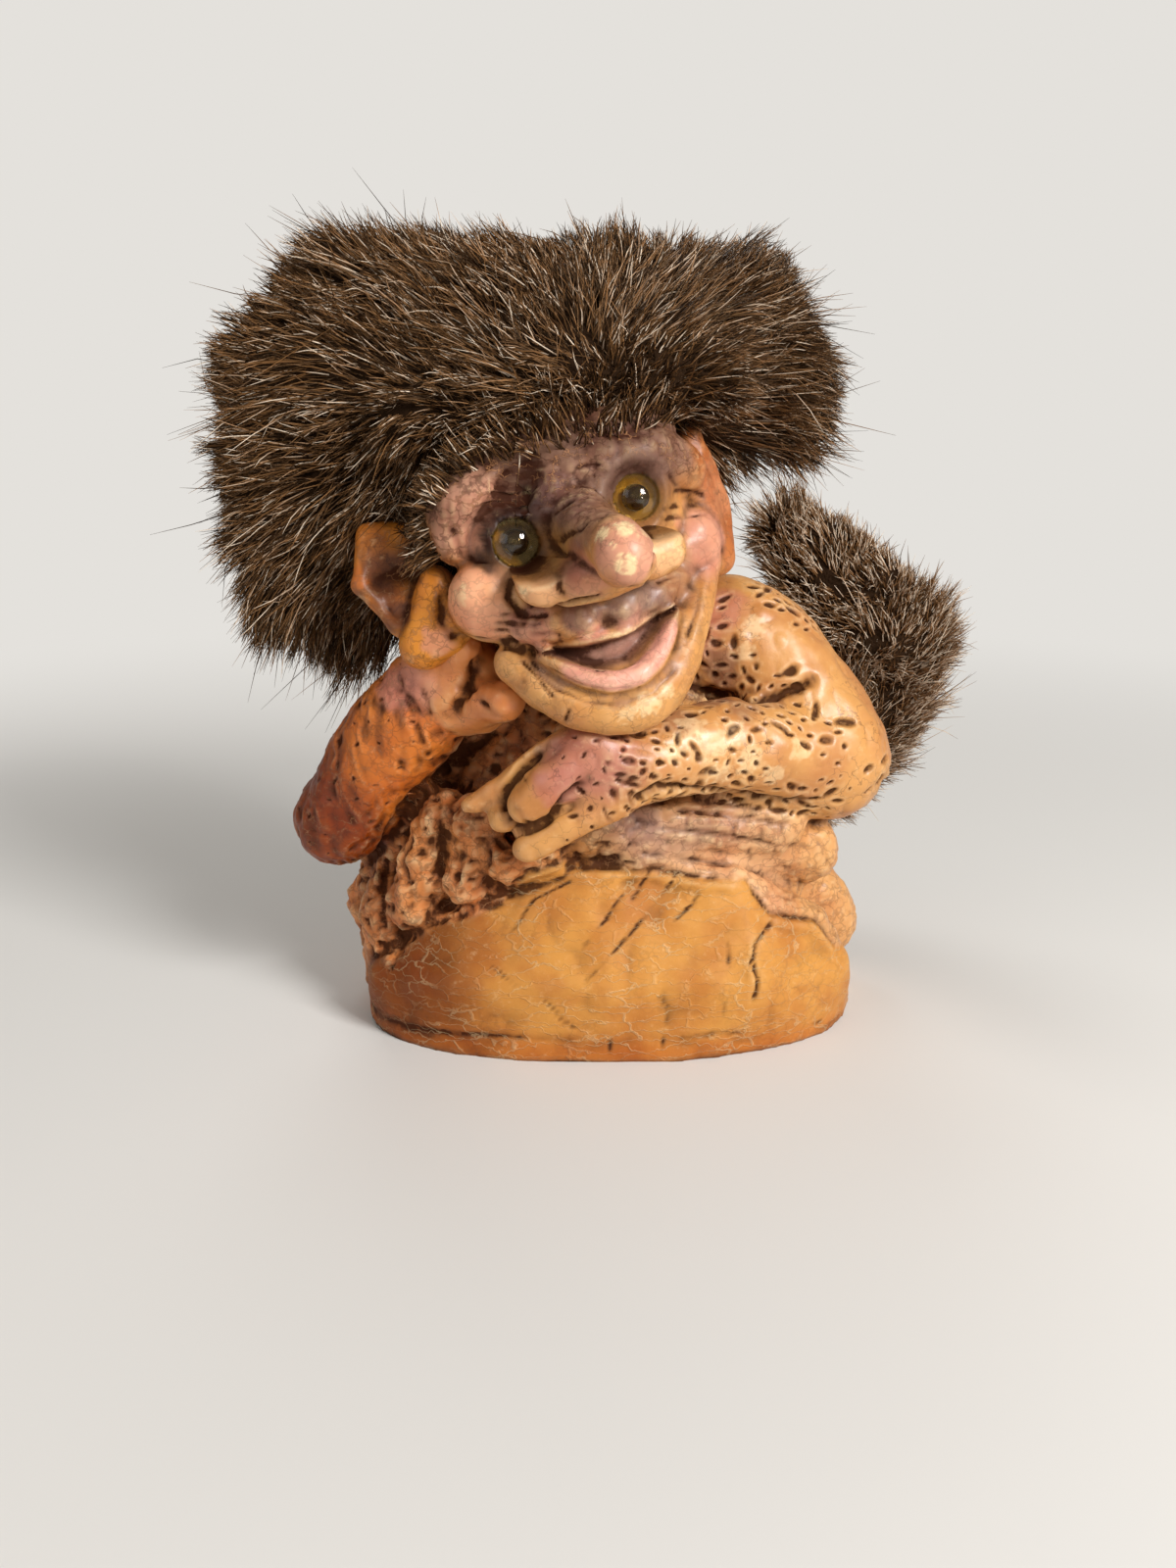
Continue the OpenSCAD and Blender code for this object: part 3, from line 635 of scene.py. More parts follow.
class Shader:
    """The nodes of a material or of the world, with what the finishes share."""

    def __init__(self, owner):
        owner.use_nodes = True
        self.owner = owner
        self.nodes, self.links = owner.node_tree.nodes, owner.node_tree.links
        self.surface = self.nodes.get("Principled BSDF")

    def node(self, kind, inputs, **settings):
        """A new node of a kind, with its settings and its inputs."""
        made = self.nodes.new("ShaderNode" + kind)
        for label, value in settings.items():
            setattr(made, label, value)
        self.feed(made, inputs)
        return made

    def feed(self, node, inputs):
        """Links a node's inputs to outputs of others, or sets them to colours or numbers."""
        for label, value in inputs.items():
            socket = node.inputs[label]
            if isinstance(value, bpy.types.NodeSocket):
                self.links.new(value, socket)
            elif socket.type == "RGBA":
                socket.default_value = (*value, 1)
            else:
                socket.default_value = value

    def millimetres(self):
        """Object coordinates, in millimetres."""
        place = self.node("TexCoord", {}).outputs["Object"]
        return self.node("Mapping", {"Vector": place, "Scale": (1 / MM,) * 3}).outputs["Vector"]

    def attribute(self, name, output="Fac"):
        return self.node("Attribute", {}, attribute_name=name).outputs[output]

    def noise(self, vector, size, detail=3, rough=0.55):
        """Noise from 0 to 1 with patches about that many millimetres wide."""
        inputs = {"Vector": vector, "Scale": 1 / size, "Detail": detail, "Roughness": rough}
        return self.node("TexNoise", inputs).outputs["Fac"]

    def ramp(self, value, low, high, start=0.0, end=1.0):
        """Goes smoothly from start to end while a value goes from low to high."""
        inputs = {"Value": value, "From Min": low, "From Max": high, "To Min": start, "To Max": end}
        return self.node("MapRange", inputs, interpolation_type="SMOOTHSTEP").outputs["Result"]

    def math(self, operation, *values):
        clamp = operation in ("ADD", "SUBTRACT")
        inputs = dict(enumerate(values))
        return self.node("Math", inputs, operation=operation, use_clamp=clamp).outputs[0]

    def times(self, product, *factors):
        for factor in factors:
            product = self.math("MULTIPLY", product, factor)
        return product

    def mix(self, factor, a, b, blend="MIX"):
        """One colour over another by a factor."""
        inputs = {"Factor": factor, 6: a, 7: b}
        return self.node("Mix", inputs, data_type="RGBA", blend_type=blend).outputs[2]

    def bump(self, height, depth, strength=1.0):
        """Relief as deep as that many millimetres."""
        inputs = {"Height": height, "Distance": depth * MM, "Strength": strength}
        return self.node("Bump", inputs).outputs["Normal"]

    def cracks(self, vector, size, stretch, seed, waver=0.9):
        """Distance to the nearest crack of a dried paint film, in cells."""
        bend = self.node("TexNoise", {"Vector": vector, "Scale": 2.2 / size, "Detail": 2})
        shift = {0: bend.outputs["Color"], 1: (waver * size,) * 3, 2: vector}
        bent = self.node("VectorMath", shift, operation="MULTIPLY_ADD").outputs["Vector"]
        squeeze = {"Vector": bent, "Scale": (1 / stretch, 1, stretch), "Location": (seed,) * 3}
        cells = {"Vector": self.node("Mapping", squeeze).outputs["Vector"], "Scale": 1 / size}
        return self.node("TexVoronoi", cells, feature="DISTANCE_TO_EDGE").outputs["Distance"]

    def show_either(self, factor, a, b, output):
        """Shows one surface over another by a factor."""
        blend = self.node("MixShader", {0: factor, 1: a.outputs[0], 2: b.outputs[0]})
        self.feed(self.nodes[output], {"Surface": blend.outputs[0]})


def new_shader(name):
    return Shader(bpy.data.materials.new(name))


def painted_casting():
    """Hand-painted casting: mottled stain, dark wash in the hollows and cracked varnish."""
    s = new_shader("painted_casting")
    place = s.millimetres()
    wash, worn, slab, stain = [s.attribute(label) for label in PAINT_LAYERS]
    broad = s.noise(place, 7, 4)
    fine = s.noise(place, 1.1, 5, 0.65)
    grit = s.noise(place, 0.35, 3, 0.7)
    patchy = s.ramp(s.noise(place, 9, 3), 0.42, 0.62)
    some = s.ramp(s.noise(place, 2.5, 3), 0.45, 0.6)
    net = s.cracks(place, 3.4, 1.0, 0)
    grain = s.cracks(place, 3.2, 2.1, 5, 0.5)
    folds = s.cracks(place, 2.2, 1.25, 9)
    lifted_grain = s.times(s.ramp(grain, 0.008, 0.045, 1, 0), slab)
    cut_grain = s.times(s.ramp(grain, 0.0, 0.014, 1, 0), slab)
    cut_net = s.times(s.ramp(net, 0.0, 0.03, 1, 0), s.math("SUBTRACT", 1.0, slab))
    loose = s.times(wash, s.ramp(fine, 0.25, 0.65, 0.7, 1.25))
    layers = [
        # pale mottling and dark specks
        (s.ramp(fine, 0.55, 0.8, 0, 0.26), CREAM),
        (s.ramp(grit, 0.68, 0.78, 0, 0.45), WASH),
        # rubbed places and painted highlights, and wash in the hollows
        (s.times(worn, s.ramp(fine, 0.3, 0.55, 0.2, 1)), CREAM),
        (s.math("MINIMUM", loose, 0.92), WASH),
        # lifted and cut cracks on the stone, and the finer net on the skin
        (s.times(lifted_grain, 0.3, s.math("ADD", patchy, 0.25)), CREAM),
        (s.times(cut_grain, 0.45, patchy), WASH),
        (s.times(cut_net, 0.5, patchy), WASH),
        # dark fold lines with a pale middle
        (s.times(s.ramp(folds, 0.02, 0.09, 0.5, 0), stain), WASH),
        (s.times(s.ramp(folds, 0.0, 0.04, 0.5, 0), stain, some), FOLD_LINE),
    ]
    mottled = s.ramp(broad, 0.35, 0.7, 0, 0.4)
    shade = s.mix(mottled, s.attribute("paint", "Color"), BURNT, "MULTIPLY")
    for factor, color in layers:
        shade = s.mix(factor, shade, color)
    height = s.math("MULTIPLY_ADD", fine, 0.5, s.times(lifted_grain, 0.55))
    dull = s.math("MAXIMUM", s.math("MAXIMUM", wash, s.times(stain, 0.8)), s.times(slab, 0.7))
    s.feed(s.surface, {
        "Base Color": shade,
        "Normal": s.bump(height, 0.25, 0.55),
        "Roughness": s.math("ADD", s.ramp(fine, 0.3, 0.75, 0.36, 0.6), s.times(wash, 0.25)),
        "Specular IOR Level": s.ramp(dull, 0, 1, 0.45, 0.1),
        "Coat Weight": s.ramp(dull, 0, 0.8, 0.25, 0),
        "Coat Roughness": 0.28,
    })
    return s.owner


def fur_material():
    """Glossy fur fibres, dark at the root and paler towards the tip, the palest tips a painted
    glint.
    """
    s = new_shader("fur_fibres")
    tone, along = s.attribute("tint"), s.attribute("along")
    shade = s.mix(s.ramp(tone, 0, 0.75), FUR_DARK, FUR_LIGHT)
    shade = s.mix(s.ramp(along, 0, 0.45, 0.75, 0), shade, FUR_ROOT)
    glinting = s.times(s.ramp(along, 0.3, 0.9), s.ramp(tone, 0.5, 1))
    s.feed(s.surface, {
        "Base Color": s.mix(glinting, shade, FUR_GLINT),
        "Roughness": 0.32,
        "Specular IOR Level": 0.65,
        "Specular Tint": FUR_SHEEN,
    })
    return s.owner


def glass_material():
    """Amber glass."""
    s = new_shader("amber_glass")
    swirl = s.noise(s.millimetres(), 1.5, 2)
    s.feed(s.surface, {
        "Base Color": s.mix(swirl, linear("f0dca6"), linear("dfbc70")),
        "Transmission Weight": 1.0,
        "Roughness": 0.04,
        "IOR": 1.1,
        "Coat Weight": 1.0,
        "Coat Roughness": 0.03,
    })
    return s.owner


def plain_material(name, first, second, size, rough, metallic=0.0, stretch=(1, 1, 1), bump=0.05,
                   gloss=0.5):
    """A finish with two tones in patches, with a light relief."""
    s = new_shader(name)
    squeezed = s.node("Mapping", {"Vector": s.millimetres(), "Scale": stretch})
    patches = s.noise(squeezed.outputs["Vector"], size, 4)
    s.feed(s.surface, {
        "Base Color": s.mix(patches, linear(first), linear(second)),
        "Normal": s.bump(patches, bump),
        "Roughness": rough,
        "Metallic": metallic,
        "Specular IOR Level": gloss,
    })
    return s.owner


# The body

def body_masses():
    foot = curved([*ROCK_FOOT, ROCK_FOOT[0]])
    rock = [(x, y, 0, ROCK_FOOT_R) for x, y in foot] + [(*p, ROCK_EDGE_R) for p in ROCK_UPPER]
    masses = [rock, *TRUNK, *pairs(HIP), LEFT_PALM, RIGHT_PALM]
    for run in [*BARK, *GIRDLE, LEFT_ARM, *LEFT_FINGERS, RIGHT_ARM, *RIGHT_FINGERS]:
        masses += pairs(curved(run))
    return masses


def front(middles, normals):
    """What the photograph shows of the body, more or less."""
    ahead = -normals[:, 1] + 0.35 * normals[:, 2]
    return (ahead > 0.15) & (middles[:, 1] < 2) & (middles[:, 2] > 0.5)


def finest(middles, normals):
    """The front of the arms and the fingers."""
    runs = [LEFT_ARM, *LEFT_FINGERS, *RIGHT_FINGERS, RIGHT_ARM[2:]]
    away = np.min([near_run(middles, run) for run in runs], axis=0)
    return front(middles, normals) & (away < 0.8) & (middles[:, 1] < -8)


# The stone's upper edge, on the photograph
STONE_EDGE = [
    (398, 985), (408, 972), (445, 944), (510, 921), (539, 892), (574, 879), (596, 886), (666, 884),
    (718, 895), (760, 895), (785, 930), (831, 935), (855, 965),
]


def carve_body():
    """The body's carved skin, and how much each point belongs to each of its areas."""
    masses = body_masses()
    shape = fused(masses, SHAPE_VOXEL, 8)
    made = fused(masses, BODY_VOXEL, 0)
    refine(made, front)
    refine(made, finest)
    wrap = made.modifiers.new("wrap", "SHRINKWRAP")
    wrap.target = shape
    wrap.wrap_method = "NEAREST_SURFACEPOINT"
    soften(made, 2)
    settle(made)
    bpy.data.objects.remove(shape)

    c = Carving(made, OCHRE)
    edge = np.array([c.touch(px, py) for px, py in STONE_EDGE])
    edge = edge[np.argsort(edge[:, 0])]
    edge_height = np.interp(c.x, edge[:, 0], edge[:, 2])
    c.slab = soft_step(edge_height - c.z, -0.3, 0.5) * soft_step(-c.y, 8, 13)

    left_arm = beside(c.points, [LEFT_ARM], 0.4, 1.6)
    left_hand = beside(c.points, [*LEFT_FINGERS, LEFT_PALM], 0.3, 1.4)
    right_arm = beside(c.points, [RIGHT_ARM[1:]], 0.4, 1.6)
    right_hand = beside(c.points, [*RIGHT_FINGERS, RIGHT_PALM], 0.3, 1.4)
    limbs = np.clip(left_arm + left_hand + right_arm + right_hand, 0, 1)
    hide = (1 - c.slab) * (1 - limbs)
    behind = soft_step(c.y, 4, 12)
    girdle = hide * soft_step(c.x, -2, 8) * soft_step(38 - c.z, 0, 6) * (1 - behind)
    bumpy = (hide - 0.8 * girdle) * (1 - 0.5 * behind)

    c.lift(0.35 * lumps(c.points, 7, 1) + 0.18 * lumps(c.points, 3, 2))
    c.crumple(2.6, 0.25, limbs, 81)
    c.crumple(5, 0.3, c.slab, 82)
    c.lift(bumpy * (0.6 * lumps(c.points, 3.2, 3)))
    c.crumple(2.2, 0.8, bumpy, 83)
    c.crumple(1.1, 0.3, hide, 84)
    drawn_out = c.points * (1.3, 1.3, 0.45) + c.points[:, [2, 2, 0]] * (0.35, 0, 0)
    sinews = np.abs(lumps(drawn_out, 1.8, 5))
    c.lift(-0.4 * right_arm * sinews)
    c.wash += 0.5 * right_arm * soft_step(sinews, 0.35, 0.8)
    c.read_normals()
    return c, dict(hide=hide, girdle=girdle, behind=behind, left_arm=left_arm, left_hand=left_hand,
                   right_arm=right_arm, right_hand=right_hand)


# Grooves: their width, depth and dark wash, and their lines on the photograph
BODY_GROOVES = [
    # the crease inside the elbow and its ends
    (0.6, 1.3, 1.6,
     [(692, 693), (708, 701), (735, 710), (765, 714), (790, 711), (812, 703), (830, 694)]),
    (0.8, -0.35, 0, [(700, 684), (735, 699), (783, 701), (822, 684)]),
    # between the forearm and the girdle
    (0.7, 0.9, 0.8, [(640, 822), (672, 803), (720, 808), (770, 815), (830, 818)]),
    # between the fingers of the left hand
    (0.6, 1.0, 0.9, [(556, 768), (532, 784), (517, 803), (514, 822), (527, 840)]),
    (0.7, 1.1, 0.9, [(600, 798), (578, 812), (560, 830), (540, 842)]),
    (0.6, 0.7, 0.7, [(557, 762), (530, 790), (510, 815)]),
    (0.5, 0.6, 0.6, [(527, 829), (545, 842), (560, 838)]),
    (0.25, 0.25, 0.6, [(640, 806), (646, 822)], [(614, 822), (622, 838)], [(590, 838), (596, 852)]),
    (0.3, 0.3, 0.7, [(566, 845), (574, 858)]),
    (0.25, 0.2, 0.5, [(530, 790), (538, 798)]),
    # the edge of the stone under the bark and the girdle
    (0.5, 0.5, 0.6, [(445, 944), (510, 921), (539, 892), (574, 879), (596, 886)],
     [(596, 886), (666, 884), (718, 895), (760, 897)]),
    (0.5, 0.35, 0.35, [(760, 897), (785, 932), (831, 938), (855, 965)]),
    # scratches across the girdle
    (0.35, 0.45, 0.7, [(641, 828), (700, 826), (750, 834), (801, 840), (834, 841)]),
    (0.3, 0.3, 0.6, [(665, 815), (720, 818), (790, 826), (825, 830)]),
    (0.35, 0.45, 0.7, [(679, 845), (734, 851), (784, 861), (830, 866)]),
    (0.35, 0.4, 0.7, [(604, 876), (658, 870), (700, 876), (742, 883), (784, 893)]),
    (0.3, 0.25, 0.5, [(640, 846), (668, 842), (700, 850)]),
    (0.3, 0.3, 0.5, [(650, 858), (690, 858), (720, 866), (750, 872)]),
    (0.35, 0.4, 0.5, [(830, 852), (845, 880), (852, 905)]),
    # hatches between the scratches
    (0.25, 0.3, 0.5, [(700, 829), (702, 846)], [(725, 833), (727, 850)]),
    (0.25, 0.3, 0.6, [(750, 836), (748, 856)], [(775, 838), (777, 860)]),
    (0.25, 0.3, 0.5, [(797, 841), (799, 862)]),
    (0.25, 0.25, 0.5, [(712, 852), (710, 864)], [(762, 860), (766, 876)], [(790, 864), (788, 880)]),
    # the swirl at the girdle's end
    (0.3, 0.35, 0.5, [(783, 893), (795, 884), (812, 888), (818, 903), (808, 918), (790, 915)]),
    (0.25, 0.3, 0.5, [(795, 900), (803, 895), (808, 903), (800, 910)]),
    # the stone's raised upper edge
    (0.6, -0.4, 0, [(540, 901), (574, 889), (600, 894), (666, 893), (718, 904), (757, 905)]),
    (0.6, -0.35, 0, [(785, 940), (831, 946), (852, 972)]),
    # cracks down the stone
    (0.24, 0.35, 0.5, [(664, 886), (655, 902), (645, 919)]),
    (0.22, 0.3, 0.4, [(690, 891), (678, 912), (648, 947), (622, 975), (596, 1003)]),
    (0.22, 0.35, 0.5, [(722, 896), (706, 923), (687, 940)]),
    (0.2, 0.25, 0.3, [(585, 898), (543, 919), (522, 951)]),
    (0.2, 0.2, 0.3, [(581, 916), (567, 937)]),
    (0.2, 0.25, 0.3, [(638, 909), (617, 940), (596, 965)]),
    (0.2, 0.2, 0.3, [(610, 895), (603, 919)]),
    (0.3, 0.5, 0.55, [(788, 940), (771, 961), (767, 982), (774, 1000), (769, 1021)]),
    (0.35, -0.25, 0, [(783, 945), (768, 962), (763, 984), (769, 1003)]),
    (0.2, 0.2, 0.3, [(741, 960), (744, 985), (737, 1015), (741, 1042)], [(730, 1012), (745, 1000)]),
    (0.25, 0.25, 0.4, [(673, 1017), (683, 1031), (681, 1045)]),
    (0.2, 0.2, 0.3, [(622, 1058), (622, 1076)], [(677, 1058), (678, 1072)]),
    (0.2, 0.2, 0, [(500, 985), (525, 1005), (545, 1012)], [(555, 1018), (575, 1042), (590, 1050)]),
    # the line round the stone's foot
    (0.3, 0.2, 0.25, [(396, 1042), (440, 1052), (490, 1056), (596, 1060)]),
    (0.3, 0.2, 0.2, [(690, 1058), (740, 1054), (841, 1042)]),
    # between the arm and the bark, and in the bark
    (0.8, 0.9, 0.9, [(376, 880), (395, 850), (425, 815), (455, 785), (500, 750)]),
    (0.7, 0.9, 0.9, [(455, 800), (452, 840), (450, 880), (440, 930)]),
    (0.6, 0.7, 0.8, [(420, 850), (412, 880), (420, 910), (408, 950)]),
    (0.5, 0.6, 0.8, [(480, 830), (470, 860), (466, 900), (455, 925)]),
    (0.6, 0.7, 0.8, [(392, 880), (388, 920), (396, 960)]),
    (0.5, 0.5, 0.7, [(500, 850), (498, 880), (486, 908)]),
    (0.4, 0.5, 0.8, [(463, 918), (490, 922), (510, 912)]),
    # the slit beside the right thumb, and between the right fingers
    (0.9, 1.6, 1.0, [(489, 673), (478, 700), (458, 731)]),
    (0.5, 0.6, 0.9, [(487, 712), (497, 720), (505, 727)]),
    (0.5, 0.35, 0.4, [(400, 700), (418, 712), (432, 735)]),
    (0.4, 0.3, 0.4, [(428, 700), (436, 715), (440, 735)], [(408, 690), (412, 712), (420, 728)]),
]

# Places on the photograph, each with a radius, and then a height, or a colour and a strength
BODY_SPOTS = [
    (600, 775, 6.5, HAND_ROSE, 0.9), (572, 805, 3, HAND_ROSE, 0.8), (640, 790, 3.5, HAND_ROSE, 0.5),
    (565, 800, 3, ROSE, 0.5), (545, 818, 3.4, BURNT, 0.4), (405, 700, 3.6, ROSE, 0.8),
    (425, 705, 3.2, PINK, 0.6), (850, 760, 6, OCHRE, 0.6), (780, 770, 6, OCHRE, 0.7),
    (640, 850, 5, MAUVE, 0.5), (740, 620, 3, ROSE, 0.6), (715, 650, 3.2, ROSE, 0.6),
    (735, 680, 3, MAUVE, 0.6), (690, 735, 2.6, MAUVE, 0.4), (650, 836, 4, MAUVE, 0.55),
    # the four plum spots round the crease inside the elbow are a painted shadow under the upper arm
    (690, 850, 4, MAUVE, 0.5), (735, 842, 3.5, MAUVE, 0.3), (725, 716, 2.6, PLUM, 0.6),
    (758, 722, 2.6, PLUM, 0.45), (788, 716, 2, PLUM, 0.4), (706, 702, 2, PLUM, 0.6),
    (600, 735, 4, PLUM, 0.4), (560, 770, 2.2, MAUVE, 0.5),
]
# Pale cream spots on the arms: rubbed paint, and painted highlights
BODY_WEAR_AND_HIGHLIGHTS = [
    (705, 742, 2.2), (730, 760, 2.6), (765, 775, 2.2), (790, 790, 1.6), (690, 765, 1.8),
    (750, 745, 1.4), (815, 765, 1.6), (735, 790, 1.8), (770, 640, 1.8), (760, 665, 1.6),
]
BODY_CLEANED = [
    (470, 860, 3), (440, 900, 3), (410, 890, 3), (480, 830, 2), (500, 880, 3), (420, 930, 3),
]


def carve_details(c, area):
    """Cuts the body's creases and pits."""
    c.grooves(BODY_GROOVES)
    facing = -c.normals[:, 1]
    forearm = area["left_arm"] * soft_step(33 - c.x, 0, 12) * soft_step(facing, -0.1, 0.4)
    clusters = soft_step(lumps(c.points, 4.5, 25), -0.35, 0.35)
    upper_arm = area["right_arm"] * clusters * soft_step(facing, 0, 0.4)
    palm = area["left_hand"] * soft_step(c.x, -6, 0)
    bark = (area["hide"] - area["girdle"]) * (1 - area["behind"])
    c.pits(forearm * clusters, 1.6, (0.3, 0.7), (0.2, 0.42), 21, 0.55, 0.16)
    c.pits(0.4 * upper_arm, 2.8, (0.25, 0.5), (0.15, 0.3), 22, 0.3)
    c.pits(0.5 * palm, 2.0, (0.25, 0.45), (0.25, 0.45), 23)
    c.pits(0.5 * bark, 2.2, (0.4, 0.9), (0.3, 0.6), 24, 0.4)
    c.read_normals()


def paint_body(c, area):
    """Gives each area its tone, then its spots, wash and stain."""
    hide, girdle, behind, right_arm = (area[k] for k in ("hide", "girdle", "behind", "right_arm"))
    c.tint(ROCK_OCHRE, c.slab)
    c.tint(ARM_TONE, 0.8 * right_arm)
    c.tint(HAND_GLOW, 0.4 * area["right_hand"])
    # Painted shade: the right arm's outer side and the stone's left end, turned from the light, are
    # darkened
    c.tint(PAINTED_SIDE_SHADE, right_arm * soft_step(-c.x - 0.6 * c.z, 5, 17))
    c.tint(PAINTED_SIDE_SHADE, 0.85 * c.slab * soft_step(-c.x, 8, 28))
    c.tint(GIRDLE_TONE, 0.85 * girdle)
    c.tint(OCHRE, 0.7 * girdle * soft_step(c.x, 22, 28))
    c.tint(BARK_TONE, 0.65 * hide * soft_step(-c.x, 2, 10) * (1 - behind))
    for spot in BODY_SPOTS:
        c.spot(*spot)
    for spot in BODY_WEAR_AND_HIGHLIGHTS:
        c.rub_and_highlight(*spot, 0.5)

    # The wash lies in the hollows, and what stands out is paled, as worn paint and painted
    # highlight
    fine, wide = c.hollows(3), c.hollows(14)
    calm = np.clip(0.6 * girdle + 0.25 * hide + 0.3 * behind, 0, 1)
    c.wash += (3.2 * np.clip(fine, 0, 1) + 1.1 * np.clip(wide, 0, 1)) * (1 - calm)
    c.worn += 2.0 * np.clip(-fine - 0.02, 0, 1) * (1 - 0.5 * c.slab)

    # Stains over the hide, streaks down the right arm, and a dark foot under the stone
    stain = soft_step(lumps(c.points, 5, 31) + 0.5 * lumps(c.points, 2, 32), -0.3, 0.7)
    c.wash += (hide - 0.85 * girdle) * (0.05 + 0.34 * stain) * (1 - 0.4 * behind)
    c.stain = 0.8 * hide - 0.2 * girdle + 0.3 * c.slab * stain + 0.55 * right_arm
    c.wash += 0.4 * right_arm * soft_step(lumps(c.points * (1.6, 1.6, 0.5), 2.4, 33), 0.1, 0.8)
    foot = c.slab * soft_step(5.5 - c.z - 0.04 * c.x, 0, 4)
    c.tint(BURNT, 0.7 * foot)
    c.wash += 0.5 * foot * soft_step(lumps(c.points * (0.3, 0.3, 1.5), 1.6, 34), -0.3, 0.6)
    # Painted shade: the wash grows towards the stone's left end, away from the light
    c.wash += 0.2 * c.slab * soft_step(-c.x - 14, 0, 14)
    for spot in BODY_CLEANED:
        c.clean(*spot, 0.45)
    c.wash += 0.3 * (1 - soft_step(c.z, -1, 1.2))


# The head

def head_masses():
    masses = [[SKULL_HEART, place] for place in SKULL] + [*RIGHT_EAR, *LEFT_EAR]
    for run in FACE_RUNS:
        masses += pairs(curved(run))
    return [*masses, FOREHEAD]


HEAD_GROOVES = [
    # round the brow plate, and the deep hollow beside it
    (0.5, 0.5, 0.6, [(456, 520), (470, 566), (500, 572)]),
    (0.8, 0.7, 0.7, [(516, 480), (511, 505), (505, 530), (492, 560)]),
    # folds over the nose
    (0.45, 0.6, 0.8, [(548, 530), (575, 514), (612, 510)]),
    (0.45, 0.5, 0.7, [(560, 560), (590, 540), (625, 525)]),
    (0.35, 0.35, 0.7, [(585, 478), (606, 474), (640, 476)]),
    # the folds beside the left eye
    (0.3, 0.25, 0.4, [(672, 520), (690, 516), (715, 520)], [(668, 530), (692, 528), (718, 524)]),
    (0.3, 0.25, 0.35, [(672, 504), (695, 500), (722, 506)]),
    # round the nose's wings
    (0.5, 0.8, 0.8,
     [(521, 592), (520, 610), (530, 624), (548, 627), (572, 618), (610, 611), (645, 600)]),
    (0.4, 0.6, 0.6, [(572, 578), (571, 600), (578, 612)]),
    (0.4, 0.5, 0.4, [(668, 540), (668, 565), (664, 585)]),
    # strands of the moustache
    (0.42, 0.22, 0.5, [(498, 634), (520, 636), (545, 637), (575, 633)],
     [(500, 643), (522, 644), (550, 646), (578, 646)]),
    (0.4, 0.2, 0.4, [(505, 626), (530, 628), (555, 629), (575, 626)]),
    # the groove of the upper lip, and the fold under the nose
    (0.35, -0.25, 0, [(575, 640), (600, 650), (640, 646)]),
    (0.45, 0.35, 0.35, [(645, 600), (672, 592), (698, 584)]),
    # from the cheek to the jaw
    (0.6, 0.7, 0.7, [(455, 650), (520, 660), (560, 668)]),
    (0.6, 0.5, 0.5, [(447, 600), (450, 635), (470, 655)]),
    # under the lower lip
    (0.3, 0.3, 0.3, [(560, 682), (590, 698), (628, 704), (655, 696), (678, 670)]),
    (0.3, 0.35, 0.45, [(545, 684), (566, 702), (596, 715), (630, 719)]),
    (0.3, 0.25, 0.2, [(640, 717), (668, 706), (690, 682)]),
    (0.2, 0.25, 0.5, [(604, 700), (606, 712)]),
    (0.2, 0.25, 0.4, [(648, 690), (652, 702)]),
    (0.25, 0.25, 0.6, [(575, 738), (582, 722)]),
    # the line between the jaw and the right-hand band
    (0.4, 0.25, 0.25, [(716, 590), (712, 620), (700, 655)]),
    # scratches and marks on the jaw
    (0.25, 0.3, 0.7, [(531, 671), (549, 692), (566, 713)]),
    (0.25, 0.25, 0.6, [(540, 672), (552, 686)]),
    (0.6, 0.4, 1.0, [(536, 688), (534, 702)]),
    # cracks over the brow plate
    (0.2, 0.2, 0.5, [(470, 500), (490, 512), (512, 508)], [(462, 530), (485, 520), (505, 528)],
     [(478, 485), (484, 505), (480, 530)]),
]

HEAD_SWELLS = [
    # the hollows round the eyes, the nose and the cheeks
    (505, 540, 3.2, -1.6), (532, 496, 3.2, -2.6), (515, 522, 3.0, -2.2), (648, 508, 4.4, 0.6),
    (478, 612, 3.5, 0.7), (545, 600, 2.6, 0.4), (640, 555, 3.4, 0.4), (700, 592, 3.2, -0.7),
    # the upper lip, the moustache and the brow
    (601, 639, 1.3, 0.6), (618, 628, 1.8, -0.5), (635, 624, 1.1, 0.35), (663, 614, 2.8, -0.6),
    (583, 646, 1.2, 0.3), (643, 636, 1.3, 0.4), (566, 632, 1.2, 0.3), (560, 500, 2.6, 0.4),
    # the right ear
    (388, 592, 2.2, -1.3), (398, 622, 2, -1.5), (408, 580, 2.6, -1.2), (362, 600, 1.4, 0.5),
    (386, 585, 1, 0.7),
]
